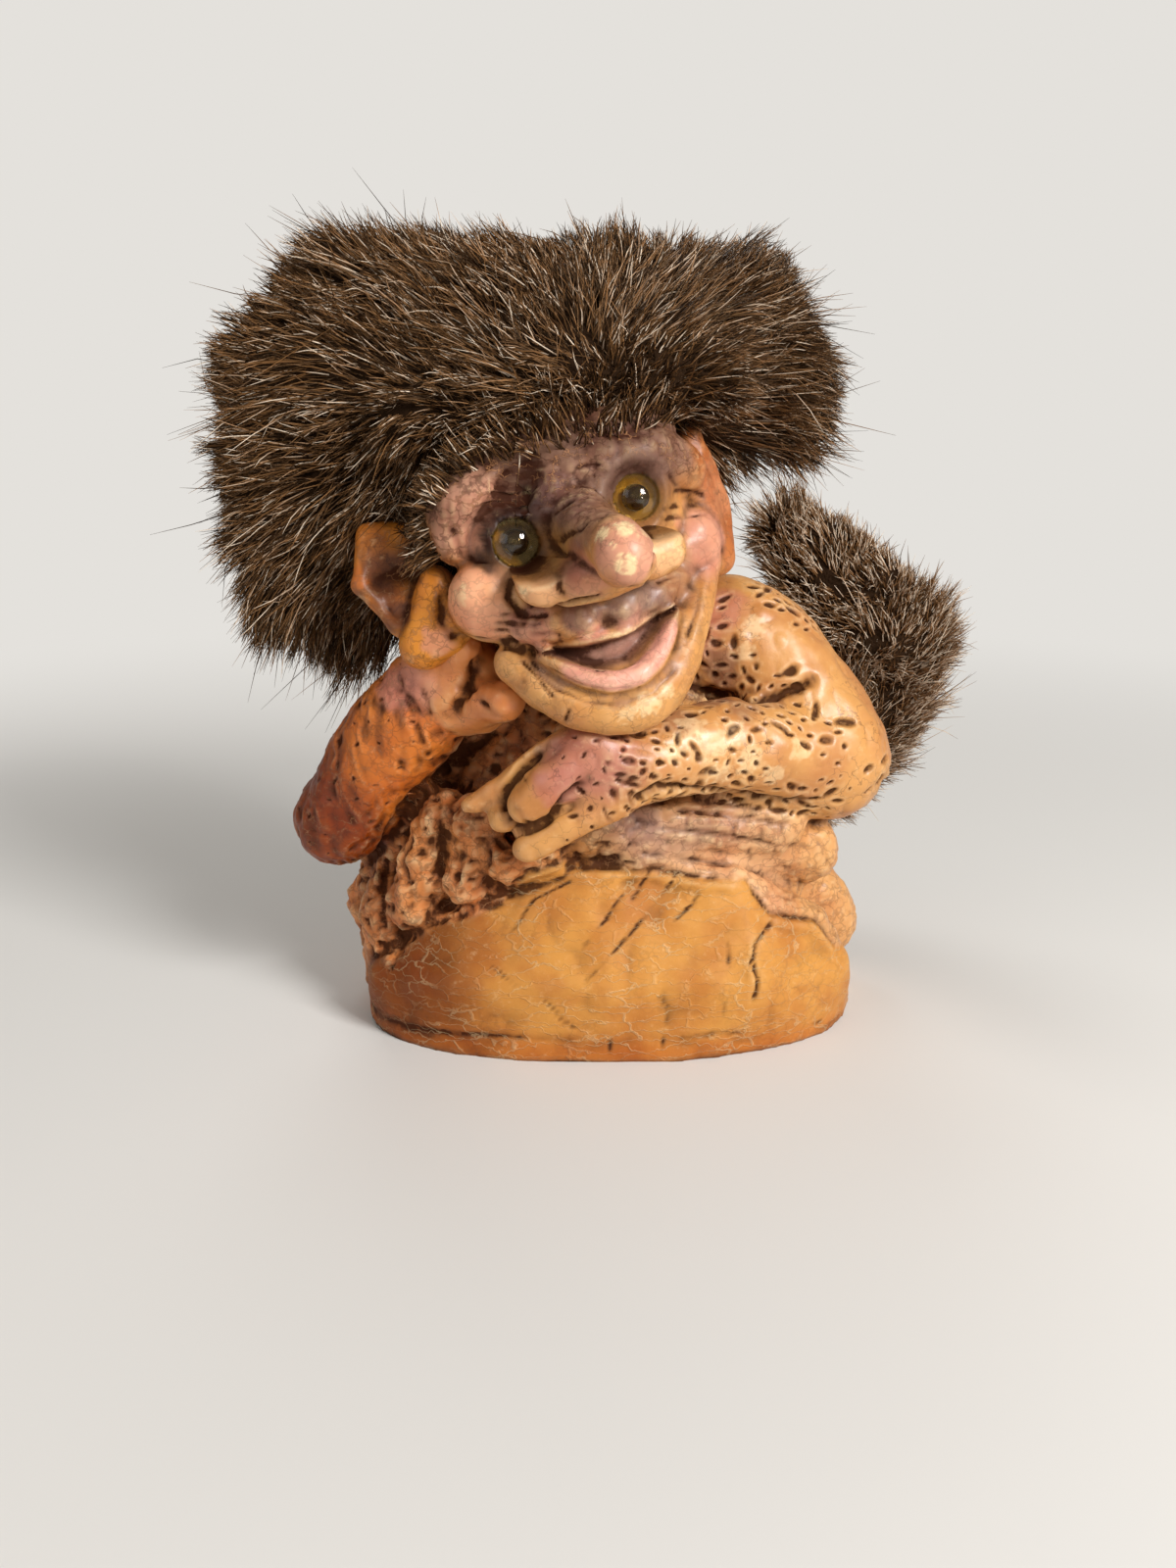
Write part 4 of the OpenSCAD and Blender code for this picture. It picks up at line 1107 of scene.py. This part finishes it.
HEAD_SPOTS = [
    (478, 612, 5, CHEEK, 0.9), (500, 640, 3.4, CHEEK, 0.8), (725, 550, 4.4, PINK, 0.8),
    (735, 500, 4, CHEEK, 0.2), (540, 640, 3.6, PINK, 0.8), (588, 572, 2.8, NOSE_SHADE, 0.75),
    (470, 575, 2.4, BURNT, 0.5), (640, 560, 4.6, PINK, 0.85), (600, 590, 3, PINK, 0.6),
    (545, 602, 3.4, OCHRE, 0.8), (688, 562, 3, OCHRE, 0.9), (485, 520, 4, MAUVE, 0.6),
    (600, 530, 4, MAUVE, 0.6), (590, 628, 2.8, MAUVE, 0.8), (660, 610, 4.5, GREY_MAUVE, 0.9),
    (650, 642, 2.4, PINK, 0.5), (690, 595, 4, MAUVE, 0.5), (605, 646, 1.8, PINK, 0.9),
    # the near-black socket spots here and below are painted shade in the hollow round the shaded
    # eye
    (619, 628, 1.5, PLUM, 0.5), (532, 492, 3.2, SOCKET_SHADE, 1), (520, 520, 3, SOCKET_SHADE, 1),
    (508, 548, 3, SOCKET_SHADE, 1), (525, 554, 4.2, SOCKET_SHADE, 1), (545, 520, 2.6, SOCKET_SHADE, 0.8),
    (478, 500, 4, PLATE, 0.8), (470, 540, 4, PLATE, 0.7), (484, 552, 2.2, PLATE, 0.8),
    (508, 550, 2.6, SOCKET_SHADE, 0.95), (500, 570, 2.4, SOCKET_SHADE, 0.9), (500, 505, 2.5, PLATE, 0.6),
    # the second and third plum spots carry that painted shade towards the nose
    (640, 470, 5, PLUM, 0.35), (560, 500, 3, PLUM, 0.7), (580, 520, 3, PLUM, 0.5),
    # the two wing spots are pale ochre, brightened further as painted light
    (545, 602, 3, WING_AND_HIGHLIGHT, 0.8), (683, 563, 3, WING_AND_HIGHLIGHT, 0.8), (388, 598, 3.4, EAR_HOLLOW, 1),
    (400, 625, 2.8, EAR_HOLLOW, 1), (410, 575, 3.6, EAR_HOLLOW, 0.9),
    (385, 570, 2.6, EAR_HOLLOW, 0.7), (362, 590, 1.6, BURNT, 0.9), (386, 590, 1.1, OCHRE, 0.8),
    (430, 665, 3.6, LOBE, 1), (446, 655, 2.2, PINK, 0.6),
]
# Pale cream spots on the nose, cheek, lip, chin and ear: rubbed paint, and painted highlights
HEAD_WEAR_AND_HIGHLIGHTS = [
    (615, 546, 1.0, 1), (640, 540, 1.3, 1), (658, 545, 0.9, 1), (640, 576, 1.5, 1),
    (628, 558, 0.6, 1), (535, 602, 0.9, 1), (472, 608, 1.3, 0.9), (600, 645, 1, 0.5),
    (660, 718, 1.6, 0.6), (640, 728, 1.2, 0.5), (680, 705, 1, 0.5), (418, 672, 0.8, 0.7),
    (446, 668, 0.9, 0.6), (371, 613, 0.9, 0.9),
]
HEAD_CLEANED = [
    (545, 602, 3, 0.8), (690, 562, 2.4, 0.6), (478, 612, 4, 0.6), (478, 515, 4, 0.5),
    (480, 550, 2.6, 0.7), (477, 565, 2, 0.5), (650, 680, 2.6, 0.5), (600, 640, 2, 0.5),
    (475, 545, 3, 0.4), (700, 592, 3, 0.6), (695, 610, 2, 0.5), (640, 672, 1.8, 0.85),
]
LIP_LINE = [(585, 682), (608, 690), (628, 694), (650, 688), (668, 668), (683, 640)]
GUTTER_LINE = [(545, 676), (565, 694), (595, 709), (632, 715), (664, 704), (690, 676)]

# The open mouth and the hairline, in the head's own axes
MOUTH_X = (-12.5, -10.8, -7.3, -3, 0.4, 4.8, 6.4)
MOUTH_TOP = (-6.2, -6, -6.8, -7.2, -7.2, -6.7, -6.2)
MOUTH_BOTTOM = (-6.2, -7.8, -10.4, -11.1, -9.6, -7.3, -6.2)
MOUTH_DEPTH = 2.8
HAIRLINE_X = (-20, -13.5, -9.8, -5.6, 1.6, 8.1, 15, 20)
HAIRLINE_Z = (13, 16.4, 16.8, 15.6, 15, 14.4, 13.4, 11.5)


def brow_mask(own):
    """1 on the brow, falling to 0 below it and behind."""
    return soft_step(own[:, 2], 5.5, 9.5) * soft_step(-own[:, 1], 2, 8)


def carve_head():
    """The head's carved skin in its own axes, and where its eyes' lids and seats are."""
    c = Carving(fused(head_masses(), HEAD_VOXEL, 9, HEAD), OCHRE)
    c.lift(0.25 * lumps(c.points, 6, 41) + 0.12 * lumps(c.points, 2.4, 42))
    own = head_axes(c.points)
    brow = brow_mask(own)
    c.crumple(2.4, 0.3, 0.3 + brow, 85)
    c.crumple(1.1, 0.16, 0.2 + brow, 86)
    c.crumple(1.7, 0.3, beside(own, [UPPER_LIP], 0.3, 1.5), 87)

    own = head_axes(c.points)
    facing = -(c.normals @ HEAD_TURN)[:, 1]
    open_mouth = mouth_mask(own) * soft_step(facing, 0.05, 0.5)
    own[:, 1] += MOUTH_DEPTH * open_mouth
    c.points = from_head_axes(own)
    c.read_normals()
    c.wash += 0.35 * open_mouth

    for swell in HEAD_SWELLS:
        c.swell(*swell)
    c.read_normals()
    c.grooves(HEAD_GROOVES)

    own = head_axes(c.points)
    lids = np.max([sink_seat(own, eye) for eye in EYES], axis=0)
    away = np.min([np.hypot(own[:, 0] - eye.x, own[:, 2] - eye.z) for eye in EYES], axis=0)
    c.points = from_head_axes(own)
    c.read_normals()
    return c, own, lids, 1 - soft_step(away, EYE_R * 0.9, EYE_R)


def mouth_mask(own):
    """1 inside the open mouth."""
    top = np.interp(own[:, 0], MOUTH_X, MOUTH_TOP)
    bottom = np.interp(own[:, 0], MOUTH_X, MOUTH_BOTTOM)
    inside = np.minimum(top - own[:, 2], own[:, 2] - bottom)
    return soft_step(inside, -0.25, 0.9) * (own[:, 0] > MOUTH_X[0]) * (own[:, 0] < MOUTH_X[-1])


def sink_seat(own, eye):
    """Sinks a flat seat for a glass eye, with a lid that hugs the glass."""
    away = np.hypot(own[:, 0] - eye.x, own[:, 2] - eye.z)
    ahead = own[:, 1] < eye.y + 4
    lid = eye.y - LID_RISE - 0.5 * (away - EYE_R)
    hug = 1 - soft_step(away, EYE_R, EYE_R * 1.75)
    raised = own[:, 1] + (lid - own[:, 1]) * hug
    raised[away < EYE_R * 0.93] = eye.y + 0.12
    own[ahead, 1] = raised[ahead]
    return 1 - soft_step(away, EYE_R * 1.3, EYE_R * 2.2)


def over_hairline(own):
    """Height over the hairline."""
    return own[:, 2] - np.interp(own[:, 0], HAIRLINE_X, HAIRLINE_Z)


def paint_head(c, own, lids, seats):
    """Gives each area of the head its tone, then its spots, wash and stain."""
    x, y, z = own.T
    side = soft_step(x, 13.5, 16)
    ear = soft_step(-x, 18.5, 20.5)
    upper = brow_mask(own) * (1 - side)
    c.tint(GREY_MAUVE, 0.9 * upper)
    c.tint(LOBE, ear)
    c.tint(BURNT, 0.6 * soft_step(-x, 23, 25) * soft_step(z, 1, 4))
    c.tint(SIDE_BAND, 0.8 * side)
    for spot in HEAD_SPOTS:
        c.spot(*spot)
    lip = 1 - soft_step(c.from_line(LIP_LINE), 1.1, 2)
    c.tint(LIP, 0.95 * lip)
    gutter = c.from_line(GUTTER_LINE)
    patchy = soft_step(lumps(c.points, 1.6, 45), -0.4, 0.3)
    c.tint(MAUVE, 0.5 * (1 - soft_step(gutter, 0.5, 1.4)) * patchy)
    mouth = mouth_mask(own) * soft_step(-y, 8, 12)
    c.tint(MOUTH, 0.9 * mouth)
    for spot in HEAD_WEAR_AND_HIGHLIGHTS:
        c.rub_and_highlight(*spot)

    # The wash lies in the hollows, less on the lip and in the mouth, and more round the eyes
    fine, wide = c.hollows(3), c.hollows(16)
    c.wash += 4.5 * np.clip(fine, 0, 1) + 1.8 * np.clip(wide, 0, 1)
    c.worn += 2.5 * np.clip(-fine - 0.015, 0, 1)
    c.wash *= (1 - 0.6 * (1 - soft_step(gutter, 0.6, 1.7))) * (1 - 0.6 * lip)
    c.wash *= 1 - 0.8 * mouth * soft_step(x, -9, -4)
    c.worn *= (1 - lids) * (1 - 0.75 * soft_step(-x, 18, 20))
    c.wash += 0.45 * lids
    c.wash += 0.14 * upper * soft_step(lumps(c.points, 2.2, 43), -0.2, 0.8)
    # Painted shade: the brow darkens just under the edge of the hair
    c.wash += 0.45 * upper * soft_step(over_hairline(own), -3, 0.5)
    c.wash += 0.25 * soft_step(lumps(c.points, 3, 44), 0.1, 0.9)
    c.stain = np.clip(upper + 0.35 * (1 - side) + 0.5 * side + 0.3 * ear, 0, 1) * (1 - lids)

    # The eyes' seats shine through the glass, one of them in the shade
    c.wash *= 1 - seats
    c.tint(AMBER_SEAT, seats)
    shaded = soft_step(x + 0.3 * z, -9.5, -8.9) * (x < -4)
    c.tint(SHADED_SEAT, 0.95 * seats * shaded)
    for spot in HEAD_CLEANED:
        c.clean(*spot)


# Fur

def fur_forms(masses, squash=None):
    """The felt between the fibres, dense pile and painted shade, and the form that they fill."""
    forms = []
    for more in (-SHADED_FELT_DEPTH, FUR_RISE):
        resized = [[(x, y, z, max(r + more, 1)) for x, y, z, r in mass] for mass in masses]
        form = fused(resized, FUR_VOXEL, 4)
        if squash is not None:
            form.data.transform(squash)
        forms.append(form)
    shaded_felt, outer = forms
    tree = skin_tree(outer.data)
    bpy.data.objects.remove(outer)
    return shaded_felt, tree


def fur_roots(shaded_felt, count, rng):
    """Random places a little under the felt, each with its outward direction."""
    mesh = shaded_felt.data
    mesh.calc_loop_triangles()
    points = read_values(mesh.vertices, "co", 3).astype(float)
    corners = points[read_values(mesh.loop_triangles, "vertices", 3, np.int32)]
    across = np.cross(corners[:, 1] - corners[:, 0], corners[:, 2] - corners[:, 0])
    area = np.linalg.norm(across, axis=1)
    picked = rng.choice(len(area), count, p=area / area.sum())
    u, v = rng.uniform(0, 1, count), rng.uniform(0, 1, count)
    flip = u + v > 1
    u[flip], v[flip] = 1 - u[flip], 1 - v[flip]
    a, b, c = corners[picked, 0], corners[picked, 1], corners[picked, 2]
    normals = across[picked] / area[picked, None]
    places = a + u[:, None] * (b - a) + v[:, None] * (c - a) - ROOT_DEPTH * normals
    return places, normals


def unit(vectors):
    return vectors / np.maximum(np.linalg.norm(vectors, axis=1, keepdims=True), 1e-9)


def run_flow(points, runs):
    """The direction of the nearest runs at each point."""
    total = np.zeros_like(points)
    for run in runs:
        for a, b in pairs(run):
            along = np.array(b[:3], float) - np.array(a[:3], float)
            away = np.maximum(run_distance(points, a, b), 0.5)
            total += (along / np.linalg.norm(along))[None, :] / away[:, None] ** 3
    return unit(total)


def sway(points, seed):
    """Slow changes of direction over the fur."""
    return np.stack([lumps(points, 5, seed + i) for i in range(3)], axis=1)


def reach(tree, roots, directions, least, most):
    """How far each fibre goes before it leaves the outer form."""
    lengths = np.full(len(roots), least)
    for i, (root, direction) in enumerate(zip(roots, directions)):
        away = tree.ray_cast(root, direction)[3]
        if away is not None:
            lengths[i] = away
    return np.clip(lengths, least, most)


def nearest_index(points, centres):
    """Index of the nearest centre to each point."""
    tree = KDTree(len(centres))
    for i, centre in enumerate(centres):
        tree.insert(centre, i)
    tree.balance()
    return np.array([tree.find(point)[1] for point in points])


def inner_point(tree, place):
    """Whether a place lies inside a closed skin."""
    hit, normal, _, _ = tree.find_nearest(Vector(place))
    return (Vector(place) - hit).dot(normal) < 0


class Fibres:
    """Fibres to be spun: where each starts, where it goes and how it looks."""

    def __init__(self, roots, directions, lengths, tones, droop, rng):
        most = lengths + STRAY_REACH
        self.roots, self.droop = roots, droop
        count = len(roots)
        centres = roots[rng.choice(count, max(count // TUFT_SIZE, 1), replace=False)]
        tufts = len(centres)
        tuft = nearest_index(roots, centres)
        lengths = lengths * (0.8 + 0.8 * rng.beta(1.4, 2.8, tufts))[tuft]
        guard = rng.uniform(0, 1, count) > GUARD_OVER
        stray = rng.uniform(0, 1, count) > STRAY_OVER
        longer, shorter = rng.uniform(1.05, 1.55, count), rng.uniform(0.8, 1.1, count)
        lengths = lengths * np.where(guard, longer, shorter)
        lengths = lengths * np.where(stray, rng.uniform(1.0, 1.3, count), 1)
        lengths = lengths * (1 + 0.3 * lumps(roots, 8, 91) + 0.35 * lumps(roots, 3.5, 92))
        lengths = np.clip(lengths, LEAST_LENGTH, most)
        self.tips = roots + directions * lengths[:, None]
        # Each tuft's tips are drawn together towards their middle
        weight = np.maximum(np.bincount(tuft, minlength=tufts), 1)
        drawn = np.stack([np.bincount(tuft, tips, tufts) / weight for tips in self.tips.T], axis=1)
        strength = rng.uniform(0.2, 0.85, tufts)[tuft] * ~stray
        self.tips += (drawn[tuft] - self.tips) * strength[:, None]
        self.lengths = np.linalg.norm(self.tips - roots, axis=1)
        bend = rng.normal(0, 0.2, (count, 3)) * np.where(stray, 2, 1)[:, None]
        bend += rng.normal(0, 0.08, (tufts, 3))[tuft]
        self.bend = bend * self.lengths[:, None]
        tones = tones + rng.normal(0, 0.12, tufts)[tuft] + 0.2 * guard
        # A share of the fibres is made pale, as painted glints
        glinting = rng.uniform(0, 1, count) > GLINT_OVER
        self.tones = np.clip(tones + 0.45 * glinting, 0, 1)

    def path(self, share):
        """The places of all fibres at a share of their length."""
        straight = self.roots + (self.tips - self.roots) * share
        straight += self.bend * (share ** 2 - 0.6 * share)
        straight[:, 2] -= self.droop * self.lengths * share ** 2
        return straight

    def only(self, chosen):
        """The chosen fibres."""
        part = copy.copy(self)
        for label in ("roots", "tips", "bend", "lengths", "tones"):
            setattr(part, label, getattr(self, label)[chosen])
        return part

    def clear_of(self, trees):
        """The fibres that run through none of some skins."""
        free = np.ones(len(self.roots), bool)
        for share in (0.5, 0.95):
            for i, place in enumerate(self.path(share)):
                free[i] = free[i] and not any(inner_point(tree, place) for tree in trees)
        return self.only(free)


def fibre_section():
    """The three-sided section of a fibre, one millimetre in radius."""
    data = bpy.data.curves.new("fibre_section", "CURVE")
    data.dimensions = "2D"
    spline = data.splines.new("POLY")
    spline.points.add(2)
    for i, point in enumerate(spline.points):
        angle = 2 * math.pi * i / 3
        point.co = (math.cos(angle), math.sin(angle), 0, 1)
    spline.use_cyclic_u = True
    return placed("fibre_section", data)


def spin(name, fibres, radius, section):
    """Tapered fibres as one mesh, with each point's tone and its share of the length."""
    data = bpy.data.curves.new(name, "CURVE")
    data.dimensions = "3D"
    data.bevel_mode = "OBJECT"
    data.bevel_object = section
    data.use_fill_caps = True
    count = len(fibres.roots)
    shares = np.linspace(0, 1, FIBRE_STEPS)
    thick = radius * np.interp(shares, (0, 0.5, 0.8, 1), (1, 0.9, 0.6, 0.15))
    paths = np.ones((count, FIBRE_STEPS, 4))
    for step, share in enumerate(shares):
        paths[:, step, :3] = fibres.path(share)
    for path in paths:
        spline = data.splines.new("POLY")
        spline.points.add(FIBRE_STEPS - 1)
        spline.points.foreach_set("co", path.ravel())
        spline.points.foreach_set("radius", thick)
    curve = placed(name, data)
    graph = bpy.context.evaluated_depsgraph_get()
    mesh = bpy.data.meshes.new_from_object(curve.evaluated_get(graph))
    bpy.data.objects.remove(curve)
    each = len(mesh.vertices) // count
    store(mesh, "tint", np.repeat(fibres.tones, each))
    store(mesh, "along", np.tile(np.resize(np.repeat(shares, 3), each), count))
    return placed(name, mesh)


def finish_fur(name, body, node, shaded_felt, fibres, parts, radius, materials):
    """Spins the fibres in even parts, and hands them over with their shaded felt."""
    fur, underfur_and_shade = materials
    section = fibre_section()
    for number, chosen in enumerate(np.array_split(np.arange(len(fibres.roots)), parts)):
        made = spin(f"{name}_fur_{number + 1}", fibres.only(chosen), radius, section)
        dress(made, fur, body, "fur", node)
    bpy.data.objects.remove(section)
    shaded_felt.name = f"{name}_underfur"
    dress(shaded_felt, underfur_and_shade, body, "fur", node)


def hairline_fibres(head, rng, count):
    """Roots along the hairline, on the skin of the head."""
    x, y, z = head_axes(head.points).T
    over = over_hairline(head_axes(head.points))
    band = (over > 0) & (over < 9) & (y < 3) & (np.abs(x) < 21)
    side = (x < -16.5) & (x > -22) & (z > 8) & (y > -8.5) & (y < 1)
    found = rng.choice(np.nonzero(band | side)[0], count)
    falls = rng.uniform(0, 1, count) > 0.9
    falls |= (over[found] < 0) & (rng.uniform(0, 1, count) > 0.4)
    normals = head.normals[found]
    up = HEAD_TURN @ (0, 0, 1)
    directions = 0.5 * normals + 0.45 * up + rng.normal(0, 0.3, (count, 3))
    directions[falls] = 0.7 * normals[falls] - 0.55 * up + rng.normal(0, 0.3, (falls.sum(), 3))
    aside = x[found] + 2
    directions[:, 0] += 0.35 * (np.sign(aside) * soft_step(np.abs(aside), 2, 14))
    return head.points[found], unit(directions)


def make_wig(materials, head, body):
    rng = np.random.default_rng(WIG_SEED)
    fringe = FRINGE + [FAN[3][0], FAN[5][0], FAN[7][0]]
    masses = [a + b for a, b in zip(FAN, FAN[1:])]
    masses += [fringe, [*TEMPLE, FAN[1][0]], NAPE_TOP + NAPE_MIDDLE, NAPE_MIDDLE + NAPE_HEM]
    shaded_felt, outer = fur_forms(masses)

    # Roots everywhere but on the face and inside the head, and fewer low on the left side
    roots, normals = fur_roots(shaded_felt, WIG_FIBRES * 2, rng)
    own = head_axes(roots)
    free = (over_hairline(own) > 0) | (own[:, 1] > -6) | (np.abs(own[:, 0]) > 19)
    inside = np.array([inner_point(head.tree, p) for p in roots])
    keep = np.nonzero(free & ~inside)[0][:WIG_FIBRES]
    sparse = soft_step(roots[keep, 0], 10, 22) * (1 - soft_step(roots[keep, 2], 78, 92))
    keep = keep[rng.uniform(0, 1, len(keep)) > 0.55 * sparse]
    roots, normals, own = roots[keep], normals[keep], own[keep]

    nape = [list(run) for run in zip(NAPE_TOP, NAPE_MIDDLE, NAPE_HEM)]
    flow = run_flow(roots, [*FAN, TEMPLE, *nape])
    outward = unit(roots - WIG_HEART)
    brink = 1 - soft_step(over_hairline(own), 2, 11)
    brink = brink * soft_step(-own[:, 1], 2, 8) * (np.abs(own[:, 0]) < 22)
    low_right = soft_step(-roots[:, 0], 24, 36) * (1 - soft_step(roots[:, 2], 66, 84))
    directions = 0.5 * normals + 0.75 * flow + 0.25 * outward + 0.65 * sway(roots, 50)
    directions = directions + rng.normal(0, 0.36, roots.shape)
    temple = beside(roots, [TEMPLE], 0, 3)
    pulls = [(brink, (0.1, -1.1, -0.1)), (temple, (-0.1, -0.5, -0.6)), (low_right, (-0.1, 0, -0.5))]
    for mask, pull in pulls:
        directions += mask[:, None] * pull
    directions = unit(directions)

    low_roots, low_directions = hairline_fibres(head, rng, HAIRLINE_FIBRES)
    roots = np.concatenate([roots, low_roots])
    directions = np.concatenate([directions, low_directions])
    lengths = reach(outer, roots, directions, *WIG_LENGTHS)
    most = rng.uniform(4, 8, HAIRLINE_FIBRES)
    lengths[-HAIRLINE_FIBRES:] = np.minimum(lengths[-HAIRLINE_FIBRES:], most)
    tones = rng.beta(2, 2.6, len(roots)) + 0.12 * lumps(roots, 6, 60) - 0.05
    # Painted light and shade: the fibres are darker on the right side, and paler on the left side
    # and over the top
    tones -= 0.5 * soft_step(-roots[:, 0], 8, 27)
    tones += 0.62 * soft_step(roots[:, 2], 88, 100) + 0.3 * soft_step(roots[:, 0], 6, 20)
    # Painted shade: the fibres at the hairline and along its brink are darker
    tones[-HAIRLINE_FIBRES:] *= 0.4
    tones[:-HAIRLINE_FIBRES] *= 1 - 0.45 * brink
    order = rng.permutation(len(roots))
    fibres = Fibres(roots[order], directions[order], lengths[order], tones[order], WIG_DROOP, rng)
    fibres = fibres.clear_of([head.tree, body.tree])
    finish_fur("wig", "figure", "wig_pile", shaded_felt, fibres, WIG_PARTS, WIG_FIBRE_R, materials)


def make_tail(materials):
    rng = np.random.default_rng(TAIL_SEED)
    flat = Matrix.Scale(TAIL_FLAT, 4, (0, 1, 0))
    lift = Matrix.Translation((0, TAIL[2][1] * (1 - TAIL_FLAT), 0))
    shaded_felt, outer = fur_forms(pairs(TAIL), lift @ flat)
    roots, normals = fur_roots(shaded_felt, TAIL_FIBRES, rng)
    directions = 0.8 * normals + 0.6 * run_flow(roots, [TAIL]) + 0.6 * sway(roots, 70)
    directions = unit(directions + rng.normal(0, 0.34, roots.shape))
    lengths = reach(outer, roots, directions, *TAIL_LENGTHS)
    tones = rng.beta(2.6, 2, len(roots)) + 0.12 * lumps(roots, 6, 61) + 0.55
    fibres = Fibres(roots, directions, lengths, tones, TAIL_DROOP, rng)
    finish_fur("tail", "tail", "tail_pile", shaded_felt, fibres, TAIL_PARTS, TAIL_FIBRE_R, materials)


# The floor, the backdrop and the lights

def make_floor():
    """A floor that turns into the backdrop away from the figure, for the camera only."""
    bm = bmesh.new()
    bmesh.ops.create_grid(bm, x_segments=1, y_segments=1, size=FLOOR_REACH)
    floor = placed("floor", mesh_of("floor", bm))
    s = new_shader("floor")
    s.feed(s.surface, {"Base Color": FLOOR_TONE, "Roughness": 0.9})
    place = s.node("TexCoord", {}).outputs["Object"]
    away = s.node("VectorMath", {0: place}, operation="LENGTH").outputs["Value"]
    path = s.node("LightPath", {}).outputs
    far = s.times(s.ramp(away, *FLOOR_FADE), path["Is Camera Ray"])
    s.show_either(far, s.surface, s.node("Emission", {"Color": BACKDROP}), "Material Output")
    floor.data.materials.append(s.owner)


def make_studio():
    """An even light from all round with the backdrop behind, and three lamps."""
    s = Shader(bpy.data.worlds.new("studio"))
    light = s.nodes["Background"]
    s.feed(light, {"Color": STUDIO_LIGHT, "Strength": STUDIO_POWER})
    path = s.node("LightPath", {}).outputs
    either = s.math("MAXIMUM", path["Is Camera Ray"], path["Is Transmission Ray"])
    s.show_either(either, light, s.node("Background", {"Color": BACKDROP}), "World Output")
    bpy.context.scene.world = s.owner
    for name, place, width, power in LIGHTS:
        data = bpy.data.lights.new(name, "AREA")
        data.size, data.energy = width, power
        lamp = placed(name, data)
        lamp.location = place
        lamp.rotation_euler = (LIGHT_AIM - Vector(place)).to_track_quat("-Z", "Y").to_euler()


def build():
    make_camera()
    casting, glass = painted_casting(), glass_material()
    underfur_and_shade = plain_material("underfur_and_shade", "1c120a", "38271a", 0.6, 1, bump=0.5, gloss=0.02)
    cloth = plain_material("backing_cloth", "241a12", "3a2a1d", 0.5, 0.95, bump=0.15)
    steel = plain_material("steel_wire", "8d8e90", "a9aaac", 0.8, 0.35, 1.0)
    wood = plain_material("turned_wood", "9c7446", "6f4c2a", 0.9, 0.6, stretch=(1, 0.15, 1))
    # The right pupil is a darker copy of the other, painted shade for the eye that sits deep under
    # the brow
    pupils = {"left": plain_material("grey_pupil", "1e1712", "352b23", 0.8, 0.3),
              "right": plain_material("shaded_pupil", "150e09", "2a1e15", 0.8, 0.3)}

    body, area = carve_body()
    carve_details(body, area)
    paint_body(body, area)
    body.finish("carved_body", "painted_casting", casting, "body_casting")
    head, own, lids, seats = carve_head()
    paint_head(head, own, lids, seats)
    furs = (fur_material(), underfur_and_shade)
    make_wig(furs, head, body)
    make_tail(furs)
    head.finish("carved_head", "painted_casting", casting, "head_casting")

    for side in ("left", "right"):
        finish_node(f"{side}_eye_glass", glass)
        finish_node(f"{side}_eye_pupil", pupils[side])
        finish_node(f"{side}_eye_wire", steel)
    finish_node("wig_backing", cloth)
    finish_node("tail_backing", cloth)
    finish_node("tail_wire", steel)
    finish_node("tail_socket", wood)
    finish_node("tail_peg", wood)
    make_floor()
    make_studio()


build()
bpy.context.scene.view_settings.view_transform = "Standard"
